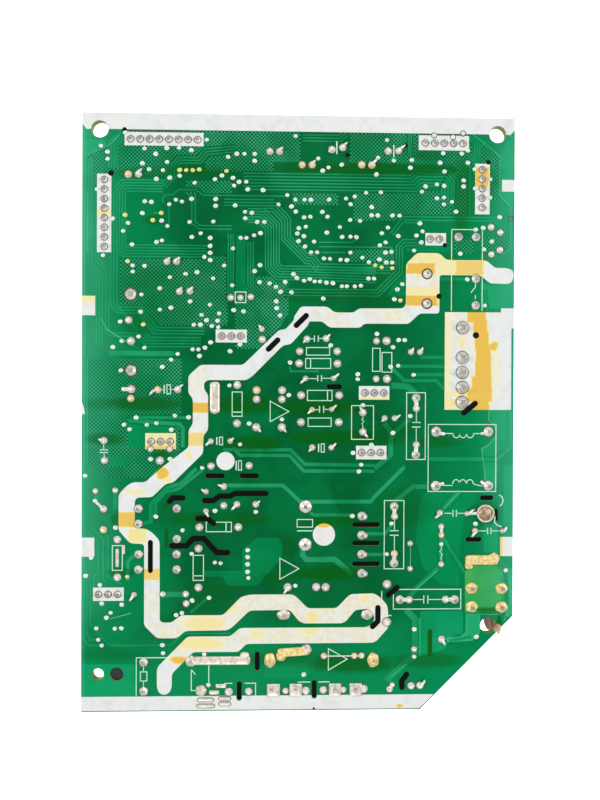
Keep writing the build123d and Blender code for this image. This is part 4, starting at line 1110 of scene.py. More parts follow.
@dataclass
class Tracks:
    """Copper tracks as they show through the mask, with the bare gap on each side of a bus."""

    thin: float = 0.34
    gap: float = 0.42
    edge: float = 0.2           # width of the bright line along a pour: painted highlight where the mask lies thin
    margin: float = 0.4         # bare board on each side of a broad track
    step_up: float = 0.004      # how much higher the edges lie
    step_down: float = 0.001    # how much lower the broad tracks lie
    buses: tuple[tuple[int, float, Spots], ...] = (
        # number of tracks, pitch, route of their middle
        (3, 0.75, ((-55.3, 66.5), (-55.3, 39), (-52.5, 36.2), (-52.5, 17))),
        (2, 0.8, ((-53.1, 42), (-53.1, 40.2), (-50.4, 37.3), (-50.4, 21.3), (-49.5, 20.5),
          (-42.5, 20.5))),
        (4, 0.7, ((-46.8, 74), (-46.8, 72.5), (-49, 70.3), (-49, 64))),
        (5, 0.75, ((-35.9, 59.5), (-46, 59.5), (-47.3, 58.2), (-47.3, 43.8), (-46, 42.5), (-24.5, 42.5))),
        (3, 0.75, ((-35.9, 59.5), (-33, 62.6), (-33, 65), (-31.8, 66.3), (-26.5, 66.3), (-24.7, 68.6),
          (-17, 69.4))),
        (3, 0.8, ((-48.7, 47), (-48.7, 28.3), (-47.3, 26.9), (-41.8, 26.9), (-37.9, 21.6), (-25, 21.6))),
        (4, 0.8, ((-41, 20), (-39.5, 18.6), (-26, 18.6))),
        (2, 0.9, ((-28, 57.5), (-28, 50), (-26.4, 48.8), (-18, 48.8))),
        (1, 0.8, ((-34.4, 49), (-34.4, 54))),
        (1, 0.8, ((-36, 55), (-36, 56.5), (-35.2, 57.2), (-33.5, 57.2), (-31.8, 58.6), (-27.3, 58.6),
          (-25.4, 57.2), (-4, 57.2))),
        (1, 0.8, ((-38.5, 52.4), (-36.4, 52.4))), (3, 0.8, ((0.5, 72.6), (10.5, 72.6), (12, 74))),
        (6, 0.85, ((-15, 61), (30, 61), (31.3, 62.4), (38.4, 62.4), (39.6, 61.2), (39.6, 57))),
        (3, 0.8, ((-20, 55.4), (-7, 55.4))),
        (6, 0.72, ((-13.8, 52), (-10.2, 52), (-7.3, 49.2), (-7.3, 38.9), (-5.4, 37), (1.2, 37),
          (20, 36.5))),
        (4, 0.75, ((-9.5, 54.3), (-6.9, 54.3), (-3.7, 51), (-3.7, 46.2), (1.9, 40.6), (3.2, 40.6),
          (5, 38.3), (24, 38.3))),
        (3, 0.7, ((-13, 45), (-13, 34), (-9.8, 30.8))), (3, 0.65, ((-18.2, 47), (-18.2, 30))),
        (1, 0.8, ((5, 45.2), (13.8, 45.2), (15, 46.2))), (1, 0.8, ((4.9, 44), (24, 44))),
        (1, 0.8, ((5.5, 42.5), (12, 42.5))),
        (3, 0.8, ((-4, 31.9), (20.6, 31.9), (26.3, 37.6), (26.3, 44), (27.6, 45.3), (31, 45.3))),
        (3, 0.7, ((45, 73.8), (46.9, 71.8), (46.9, 68.3), (45.2, 66.6))), (2, 0.6, ((29, 74), (29, 68))),
        (1, 0.6, ((45, 66), (45, 52))), (1, 0.6, ((40.6, 62), (40.6, 53))),
        (2, 0.9, ((24.2, 47.4), (27.4, 51.7), (51.6, 51.7), (53.9, 49.5), (53.9, 47))),
        (1, 0.6, ((27.6, 50.6), (31.5, 50.5))),
        (1, 0.8, ((-56.3, -14), (-56.3, -29.9), (-52.6, -34), (-52.6, -41.5), (-53.7, -43),
          (-53.7, -46))),
        (1, 0.8, ((-55.3, -14), (-55.3, -29), (-51.3, -33), (-51.3, -44))),
        (1, 0.8, ((-50.1, -32), (-50.1, -43), (-46.5, -45))),
        (1, 0.8, ((-56.3, -45), (-56.3, -59), (-55.2, -61), (-52, -61))),
        (1, 0.8, ((-55.5, -45), (-55.5, -58), (-54.7, -59.5), (-52.8, -59.5))),
        (1, 0.8, ((-54.6, -45), (-54.6, -55.4), (-49.5, -61), (-33.5, -61), (-30.5, -58), (-18, -58))),
        (1, 0.8, ((49.2, 33), (49.8, 27.5))), (1, 0.8, ((-47.5, 28), (-42.5, 21.5))),
    )
    edges: Routes = (
        # single bright lines along the edges of pours: painted highlight, where the mask also lies thin
        ((50.4, 1), (50.4, -1.6), (51.5, -2.5), (51.9, -3.6), (52.7, -5), (51.4, -7.2), (50, -8.6),
         (48.5, -9.2), (48.7, -11), (49.3, -15), (49.6, -20)),
        ((56.4, 0.6), (56.4, -8.8), (52.6, -12.4)),
        ((46, 74), (53, 68.5), (53, 58), (56, 55), (56, 44), (53.8, 42.4)),
        ((53.5, -38.2), (56.2, -43), (56.5, -50), (54.8, -55)),
        ((53.3, -38.4), (54.6, -44), (54.6, -52.8)), ((-55.5, 14.4), (-55.5, -13)),
        ((-56.3, 14), (-56.3, -13.6)), ((-55.5, 67.4), (-50, 70), (-47.2, 72.8)),
        ((44.6, -53.2), (53.6, -53.4), (54.6, -52)), ((48.2, -53.6), (48.2, -58), (46.6, -59.6)),
        ((-49.4, -54), (-44, -52.6)), ((28.6, -66.4), (24.6, -69.8)), ((32.2, -54.2), (32.2, -64.4)),
        ((36.6, -41.8), (31.2, -46.4)), ((-56.4, 31.6), (-56.4, 58)), ((-55.6, 42), (-55.6, 58)),
        ((29.6, -35.4), (29.6, -40.4)), ((42.4, -20.9), (38.2, -25.4)),
        ((-43.6, 17.5), (-50.4, 21.8), (-52, 24.6)),
    )
    wide: tuple[tuple[float, Spots], ...] = (
        # width, route
        (1.3, ((-50, 15.6), (-33, 15.6))), (0.8, ((-42.8, -1.2), (-29.1, -1.2))),
        (1, ((-45, -2), (-31.5, -2.9), (-30.6, -4), (-30.6, -9))),
        (0.9, ((-20, -9.6), (-2.3, -9.6), (1.5, -13.4), (20, -13.7))),
        (0.9, ((-17.5, -9), (-15.5, -11.1), (-2.6, -11.1), (1.2, -15.2), (20, -15.2))),
        (1, ((-19, -19), (-4.3, -19), (0.3, -23.3), (19, -23.3), (20, -22), (28, -14))),
        (0.5, ((-2.6, 12.5), (-2.3, 11.1), (5, 11.1))), (0.9, ((3, -26.3), (4, -26.9), (13.5, -26.9))),
        (1.4, ((1, -36), (1, -37.5), (2, -38.6), (9.5, -38.6), (14, -42.5))),
        (0.9, ((32, 15), (38.3, 15))), (0.9, ((26.5, 12.6), (38.3, 12.6))),
        (0.9, ((30.5, 10.4), (38.3, 10.4))), (0.9, ((24.5, 12), (27.8, 8.8), (36.2, 8.8), (38.4, 6.6))),
        (1.6, ((24.3, 7.5), (28.7, 7.2), (30.8, 5.3))),
        (1.3, ((22.5, -2.5), (24.5, -5.2), (24.2, -7), (24.2, -11), (20, -14.5))),
        (1, ((25.3, -4.8), (29.3, -1.5))), (1, ((34.5, -12), (52.5, -12), (56, -8.9), (56, 1))),
        (1.2, ((24.5, -24), (30.3, -19.3), (34, -19.3))), (1.6, ((42.7, -20.5), (38.5, -25))),
        (0.9, ((18, -31.8), (22.8, -31.8), (24.5, -29.5))), (0.9, ((18, -37.3), (22.5, -37.3))),
        (1.2, ((37, -41), (31.5, -46), (29.5, -48.5))),
        (1.7, ((28.5, -52), (31, -54.5), (31, -64), (25, -69), (23.5, -71))),
        (0.8, ((40, -60.3), (46, -59.3))), (0.8, ((37, 35.8), (44, 35.8))),
        (1.2, ((-48.2, -20.3), (-48.2, -30))), (1, ((-44.9, -44), (-44.9, -39), (-43.3, -37.3))),
        (1, ((-53.3, -21), (-53.3, -23.2), (-51.5, -25))),
        (1, ((-27, -14.5), (-31, -18.5), (-34.5, -19.5), (-38.9, -23.9), (-38.9, -28.5), (-41, -29.2))),
        (0.8, ((-25.5, -15), (-31.5, -19.8), (-35, -20.8), (-37.7, -23.6), (-37.7, -27.2))),
        (1.4, ((-35, -47.7), (-30, -47.7))), (0.7, ((-28.5, -52.5), (-24, -48.7))),
        (1.2, ((37.8, -29.9), (37.8, -39.9))), (0.9, ((38.5, -33), (44, -42))),
    )

    def build(self) -> None:
        """Makes the tracks, the bright lines of painted highlight along the pours' edges, and the bare gaps
        beside them.
        """
        lines, gaps, broad = Sculpt(), Sculpt(), Sculpt()
        for step, (count, pitch, route) in enumerate(self.buses):
            span = (count - 1) * pitch + self.thin + 2 * self.gap
            gaps.line(route, span, Rise.GAP, step * LIFT)
            for track in bus(route, count, pitch):
                lines.line(track, self.thin, Rise.TRACK, step * LIFT)
        shine = Sculpt()
        for step, route in enumerate(self.edges):
            shine.line(route, self.edge, Rise.TRACK + self.step_up + step * LIFT)
        shine.piece("pour_edge_highlights", SolderMask("thin_mask_highlight", Green.EDGE).material())
        for step, (width, route) in enumerate(self.wide):
            gaps.line(route, width + 2 * self.margin, Rise.GAP - self.step_down, -step * LIFT)
            broad.line(route, width, Rise.TRACK - self.step_down, -step * LIFT)
        gaps.piece("track_gaps", SolderMask("mask_over_gap", Green.BARE).material())
        lines.piece("fine_tracks", SolderMask("mask_over_track", Green.TRACK).material())
        broad.piece("broad_tracks", SolderMask("mask_over_broad_track", Green.TRACK).material())


@dataclass
class BarrierBand:
    """The white insulating band that parts the mains side from the low-voltage side."""

    outline: Spots = (
        (28.1, 39.7), (31, 42.6), (36.9, 42.6), (38.9, 40.8), (49.5, 40.8), (51.8, 38.8), (55, 38.8),
        (56.6, 38.2), (56.9, 36.7), (56.3, 35), (55.2, 34.6), (50.5, 34.7), (48, 36.8), (37, 36.8),
        (37, 26.6), (31.8, 26.6), (28.8, 23.8), (17.1, 23.8), (16, 22.7), (7.8, 22.7), (6, 24.3),
        (2.5, 24.3), (2.2, 23.3), (-2.4, 18.2), (-4.3, 18), (-12.5, 9.7), (-14, 8.7), (-24.2, 8.7),
        (-25.1, 7.9), (-25.1, 6.2), (-24, 4.9), (-24, -4.5), (-25.2, -5.8), (-25.3, -10.6), (-33, -18.2),
        (-35, -18.6), (-38.6, -22.1), (-42.4, -22.2), (-43.1, -23), (-43.1, -29.6), (-42.4, -30.3),
        (-40.2, -30.4), (-38.4, -31.5), (-36.9, -33.2), (-36.6, -34), (-36.5, -54.6), (-35.6, -55.1),
        (-33.4, -55.1), (-31, -53.2), (-19.9, -53.2), (-15.2, -48.4), (-12.7, -47.8), (-1.8, -47.8),
        (-0.8, -48.3), (2.4, -51.5), (10, -51.5), (13.6, -47.8), (20, -47.6), (22, -49), (23.6, -51),
        (23.9, -56.6), (20.6, -60.3), (19.5, -60.7), (-13.8, -60.8), (-15.1, -62.2), (-16, -62.9),
        (-27.5, -62.9), (-28.2, -63.4), (-33.3, -68.6), (-33.3, -72), (-33.8, -73.5), (-35.3, -74.2),
        (-36.7, -73.6), (-37.2, -72), (-37.2, -67.5), (-36.8, -66.5), (-29.2, -58.8), (-18, -58.8),
        (-15.8, -56.9), (-15, -56.6), (18, -56.6), (19.5, -55.8), (20.2, -54.2), (19.4, -52.4),
        (18, -51.7), (15, -52), (12.5, -55), (11.4, -55.5), (1.3, -55.5), (0, -54.8), (-1.8, -52.5),
        (-2.6, -51.9), (-12.9, -52), (-17.5, -56.4), (-18.8, -57.2), (-29.8, -57.3), (-32, -59.2),
        (-37.2, -59.2), (-40.6, -55.8), (-40.6, -35), (-41, -34.4), (-44.3, -34.2), (-47.3, -30.8),
        (-47.3, -21.4), (-45.3, -19.2), (-43.7, -18.2), (-40.4, -18.2), (-36.7, -14.8), (-29.1, -9),
        (-29.1, -4.4), (-28, -2.9), (-28, 3.8), (-29.2, 5.2), (-29.2, 9.8), (-26, 12.7), (-14.9, 12.7),
        (-5.4, 22), (-3.8, 22.1), (-1.6, 24.5), (-1.5, 25.5), (0.3, 28.2), (7.3, 28.2), (9.2, 26.7),
        (14.3, 26.7), (15.6, 27.8), (27.3, 27.9), (28.1, 29),
    )
    corner: float = 0.8
    openings: Rows = ((33.7, 37.1, 1.4), (33.7, 29.2, 1.4))
    joint: float = 1.1          # inner radius of the rims in the openings
    slots: Routes = (
        ((-0.9, 23.2), (1.7, 25.8)), ((-8.2, 16.9), (-5.8, 19.3)), ((-39, -34), (-39, -41.4)),
        ((21, -51.4), (21, -55)),
    )

    def build(self) -> None:
        """Makes the band with its slots and the rims of its joints open."""
        band = Sculpt()
        cuts = [capsule(*slot, SLOTS.width + 0.06) for slot in self.slots]
        cuts += [circle(*opening) for opening in self.openings]
        band.layer([rounded(self.outline, self.corner), *cuts], Rise.BAND)
        band.piece("barrier_band", PRINT)
        rims = Sculpt()
        for x, y, radius in self.openings:
            rims.rim(x, y, self.joint, radius + 0.1)
        rim = DarkLine("flux_brown_rim", paint(150, 112, 62), paint(112, 84, 50))
        rims.piece("band_joint_rims", rim.material())


@dataclass
class PrintedFields:
    """White fields along the board's edges, round the power header and under the headers."""

    pocket: float = 2.25        # clearance round a mounting hole
    fields: Routes = (
        ((-57, -78.2), (32, -78.2), (33.2, -77.2), (35.9, -74.5), (4.95, -74.5), (4.9, -75),
         (4.6, -75.35), (4.2, -75.45), (3.8, -75.35), (3.5, -75), (3.45, -74.5), (-14.85, -74.5),
         (-14.85, -75.2), (-15.15, -75.7), (-15.6, -75.85), (-16.05, -75.7), (-16.35, -75.2),
         (-16.35, -74.5), (-57, -74.5)),
        ((-57, 25.5), (-53.5, 25.5), (-53.5, 30.6), (-57, 30.6)),
        ((53.6, 59.1), (57, 59.1), (57, 62.2), (53.6, 62.2)),
        ((-57, -37.7), (-53.6, -37.7), (-53.6, -32.7), (-57, -32.7)),
        ((53.6, -37.8), (57, -37.8), (57, -32.7), (53.6, -32.7)),
        ((-57, -0.4), (-56.1, -0.3), (-56.4, 1.4), (-57, 3)),
    )
    power: Spots = (
        (38.5, 27), (53.5, 27), (53.5, 28.1), (57, 28.1), (57, 23), (56.3, 22.6), (56.3, 1.1),
        (45.85, 1.1), (47.2, 2.25), (47.45, 2.75), (47.25, 3.3), (46.75, 3.55), (46.2, 3.35), (43.5, 1.1),
        (38.5, 1.1),
    )
    boxes: Rows = (
        (-46, 70, -25.4, 73.5), (-53.1, 42, -49.4, 62.5), (31.3, 69.8, 44.7, 73.7),
        (46.4, 53, 50.3, 66.4), (33.2, 44.6, 38.7, 47.9), (-22.1, 18.6, -13.9, 22),
        (-40.4, -9.5, -32.4, -5.3), (-53.9, -49.3, -45.9, -45.8), (15.7, 3.7, 23.8, 7.3),
        (15, -12.1, 23.1, -8.5),
    )
    discs: Rows = ((-19.4, -12.6, 2.4), (6.6, -32.0, 2.95))

    def build(self) -> None:
        """Makes the fields, then the header boxes and the two discs."""
        edge = Sculpt()
        band = [(-57, 78.5), (-57, 75.6), (-55.8, 74.1), *self._pocket(-52.4), *self._pocket(52.4),
                (55.8, 74.1), (57, 75.4), (57, 78.5)]
        for outline in (band, *self.fields):
            edge.layer([outline], Rise.BAND)
        edge.piece("edge_print", PRINT)

        power = Sculpt()
        power.layer([self.power], Rise.BAND)
        power.piece("power_field", PRINT)

        marks = Sculpt()
        for box in self.boxes:
            marks.layer([oblong(*box)], Rise.BAND)
        for disc in self.discs:
            marks.layer([circle(*disc)], Rise.BAND)
        marks.piece("header_boxes", PRINT)

    def _pocket(self, x: float) -> list[Spot]:
        """Lower edge of the top band where it goes over a mounting hole, from left to right."""
        arc = [math.pi * (1 - k / 12) for k in range(13)]
        return [(x + math.cos(angle) * self.pocket, 74.2 + math.sin(angle) * self.pocket) for angle in arc]


@dataclass
class Vias:
    """Solder-filled vias: small domes all over the tracks."""

    radius: float = 0.57
    height: float = 0.32
    spread: float = 0.08                # how much their sizes differ, as a share
    oval: Spot = (1.12, 1.0)
    lean: float = 20.0                  # most that their ovals turn, in degrees
    plain: Spots = (
        (-52.1, 69.75), (-50.4, 68.2), (-50.4, 66.4), (-45.8, 73.3), (-24.6, 71.7), (-40.8, 69.2),
        (-35, 69.4), (-31.8, 69.5), (-28.6, 68.9), (-37.9, 67.85), (-34.9, 65.75), (-41.35, 65.35),
        (-39.6, 63.8), (-36, 63.6), (-37.7, 61.3), (-34.2, 61.65), (-31.6, 62.2), (-53.1, 58.4),
        (-49.1, 50.8), (-45, 49.7), (-46.3, 47.6), (-40.7, 55.4), (-39, 55.25), (-41.3, 52.3),
        (-36.3, 50.4), (-34.8, 49), (-34.3, 54.7), (-32.6, 55.9), (-31, 55.45), (-28.5, 56.2),
        (-29, 50.1), (-27.7, 60.4), (-22.4, 61.4), (-20.6, 62.4), (-19, 67.3), (-22.2, 56.2),
        (-22.2, 54.4), (-22.8, 50.3), (-26.1, 47.2), (-16.7, 68.15), (-14.7, 68.15), (-12, 68.15),
        (-12, 66.35), (-17.7, 61.8), (-17.4, 59.8), (-16.1, 60.8), (-14.2, 60.85), (-13.8, 58.85),
        (-9.8, 58.7), (-17.1, 54.6), (-14.5, 52.95), (-14.4, 51.25), (-12.7, 52.7), (-11.3, 50.3),
        (-9.4, 50.35), (-10.4, 47.4), (-5.7, 55), (-3.4, 57.45), (-1.3, 56.3), (-2.3, 54.5),
        (-1.15, 53.15), (1.15, 56.3), (2.8, 56.3), (1.05, 51.65), (2.7, 51.85), (1.5, 49.2),
        (-0.35, 48.8), (-0.75, 47.4), (5.85, 53.15), (7.2, 51.9), (7.6, 56.4), (12.1, 56.75),
        (14.4, 57.3), (13.3, 55.25), (13.2, 51.1), (15.8, 50.9), (10.5, 49.2), (7.05, 47.7), (17.4, 58.3),
        (18.9, 54.6), (18.9, 52.4), (-1.3, 73), (4.7, 67.2), (7.4, 64.85), (5.9, 64), (10.9, 65.65),
        (22.9, 72.3), (20.5, 67.6), (24.7, 66.9), (29.5, 67.1), (29.1, 65.1), (20.1, 63.2), (37.8, 69),
        (37, 66.5), (38.2, 64.2), (42.8, 69), (44.4, 69.8), (44.4, 66.6), (46.2, 64.9), (50.4, 62.3),
        (46.4, 59.8), (50.4, 57.4), (43.3, 61.9), (43.3, 60.3), (35.4, 73.7), (40.4, 73.3), (43.1, 74.3),
        (33.2, 60.2), (32.2, 58.8), (36.2, 60.8), (38.1, 60.4), (36.2, 57.1), (38.1, 57.3), (38.1, 55.5),
        (40.2, 56.2), (41.3, 53.6), (21.3, 58.5), (20.5, 52.4), (24.4, 52.4), (26.3, 52.4), (31.7, 50.4),
        (32.4, 48.3), (23.2, 49.2), (21.6, 47.7), (53, 52.3), (48.6, 49.4), (46.6, 48.9), (-44, 44.1),
        (-37.6, 44.8), (-36.2, 45.2), (-28.4, 46.2), (-23.6, 46), (-23.6, 43.9), (-23.6, 42.1),
        (-25.1, 41), (-23.6, 40.2), (-19.9, 38.8), (-51.5, 41.2), (-43.8, 38.6), (-43.8, 37),
        (-40.7, 38.5), (-27, 37), (-30, 36.5), (-34.1, 35.6), (-22.8, 35.4), (-36.7, 32.7), (-28.8, 29.3),
        (-23.6, 28.5), (-33.8, 27.6), (-36.7, 27.1), (-41.7, 26.5), (-25.8, 25.8), (-21.2, 26.2),
        (-47, 23.9), (-24.5, 24.4), (-21.6, 24.3), (-27.8, 23.2), (-26.1, 23.2), (-23.1, 22.9),
        (-21.4, 22.6), (-42.2, 20), (-46.6, 18.8), (-48.9, 17.2), (-40.7, 17.1), (-28.1, 16.7),
        (-26.6, 16.7), (-24.9, 17.2), (-23.4, 18.6), (-41.5, 31), (-15.6, 46.1), (-14.1, 46.1),
        (-12.1, 46.8), (-0.4, 45.4), (1, 46.7), (3.7, 45.3), (1.3, 44), (2.9, 42.5), (4.5, 42.5),
        (11.1, 46.6), (13.3, 46.7), (14.9, 46.6), (6.3, 40.9), (7.9, 40.8), (10.7, 40.6), (12.4, 40.5),
        (13.3, 42.5), (16.5, 41.2), (18.2, 40), (-17.6, 43.3), (-10.5, 39), (-11.9, 37.4), (-1.7, 36.7),
        (-0.8, 35.7), (1.1, 35), (2.6, 35.4), (3.9, 34.8), (5.3, 34.8), (7, 34.5), (8.7, 34.4),
        (-10.6, 34.5), (-8, 34.2), (-3.9, 34.6), (-6.3, 33.3), (-5.1, 32), (-2.2, 31.9), (6.2, 30.3),
        (-17.8, 33.6), (11.1, 33.6), (12.4, 33.6), (14.5, 33.6), (16.1, 33.8), (18.1, 35.7), (19.6, 35.7),
        (-6.2, 29.5), (-6.1, 27.7), (-5.2, 25.8), (-17.4, 27.1), (-14.8, 26.8), (8.2, 18), (-15.7, 18.1),
        (-18.3, 16.3), (26, 47), (30.8, 47.2), (22.6, 45.3), (21.1, 44.5), (32.1, 45.4), (22.6, 42.6),
        (24.2, 42.8), (30.2, 43.2), (21, 40.8), (22.8, 40), (24.4, 40), (27.1, 34.3), (25.8, 32.9),
        (25, 30.3), (20.4, 21.1), (26.2, 19.5), (27.8, 19.5), (24.7, 17.6), (42.5, 42.5), (50.9, 45.8),
        (48.9, 43.7), (44.4, 35.7), (49.1, 28.8), (40.7, 11), (40.3, 8), (40.7, 4.3), (-32, 15.5),
        (-33.7, 14), (-36, 12.1), (-26.3, 15), (-42.8, -1.2), (-32.7, -0.7), (-29.1, -1.1), (-45.9, -3.1),
        (-44.5, -4.3), (-40, -3.1), (-37.5, -2.7), (-33.6, -4.4), (-39, -12.1), (-33.9, -12.1),
        (-18.4, 7.3), (-25.5, -14.4), (-46.8, 11.1), (-46, 6.2), (-2.5, 13.4), (-2.8, 4.8), (15.4, 10.4),
        (15.4, 9.1), (-13.2, -2.7), (-4.6, -1.6), (-15.6, -8.2), (14.2, -10.4), (16.4, -13.5),
        (16.8, 2.2), (19.1, -8.3), (24.1, 12.4), (26.1, 12.7), (30.2, 10.3), (24.8, -5.1), (29.4, -0.6),
        (-56, -16.5), (-53.4, -23.1), (-48.1, -30.1), (-54.4, -38), (-55.8, -42.7), (-52.1, -45.1),
        (-30.6, -30.8), (-37.6, -27.2), (-28.2, -37), (-22.1, -39.3), (-20.6, -39.5), (-22.1, -25.7),
        (-11.4, -26), (15.8, -15.3), (-13.5, -36.1), (-13.5, -37.9), (-13.5, -39.8), (-13.5, -41.8),
        (-13.3, -43.4), (14.1, -27.1), (-0.9, -45.5), (24.5, -29.1), (23.3, -37.2), (46.9, -29.2),
        (37.8, -34.6), (55.1, -41.6), (-51.6, -50), (-46.4, -50.3), (-49.3, -52.4), (-50.4, -53.7),
        (-53, -56.5), (-48.2, -56.6), (-46.5, -56.5), (-52.5, -59.5), (-51.6, -61), (-35.8, -61),
        (-35.6, -63.1), (-32.2, -53.1), (-30.7, -52.6), (-28, -49.3), (-23.6, -48.6), (-24.8, -63.5),
        (-23.7, -71.6), (1.4, -69), (30.7, -57.2), (30.7, -64.5), (47.3, -59.3),
    )
    stained: Spots = (
        (-31.6, 63.7), (-29.9, 63.7), (-28.2, 63.7), (-26.5, 63.9), (-19.4, 63.6), (-45.8, 51.8),
        (-36.4, 52.4), (-38.6, 50.5), (-45.1, 39.7), (-41, 23.2), (19.9, 39.2), (21.6, 38.7),
        (24.4, 38.5), (26.6, 30), (-45, -43),
    )
    dome: Spots = ((1.0, -0.05), (0.98, 0.3), (0.86, 0.62), (0.62, 0.86), (0.3, 0.97), (0.06, 1.0))

    def build(self) -> None:
        """Makes the bright vias and the stained ones."""
        bright = Solder("bright_via", paint(230, 240, 234), paint(204, 220, 210), paint(70, 120, 84), 0.1,
                        shine=0.25)
        yellow = Solder("stained_via", paint(228, 228, 150), paint(206, 204, 112), paint(112, 110, 40), 0.14,
                        shine=0.15)
        for name, spots, finish in (
                ("solder_vias", self.plain, bright), ("stained_vias", self.stained, yellow)):
            domes = Sculpt()
            for x, y in spots:
                size = self.radius * (1 + self.spread * math.sin(x * 5 + y * 3))
                profile = [(size * radius, self.height * height) for radius, height in self.dome]
                domes.turned(x, y, SOLDERED_FACE, profile, 14, self.oval, self.lean * math.sin(x + y))
            domes.piece(name, finish.material(), "tinned_leads")


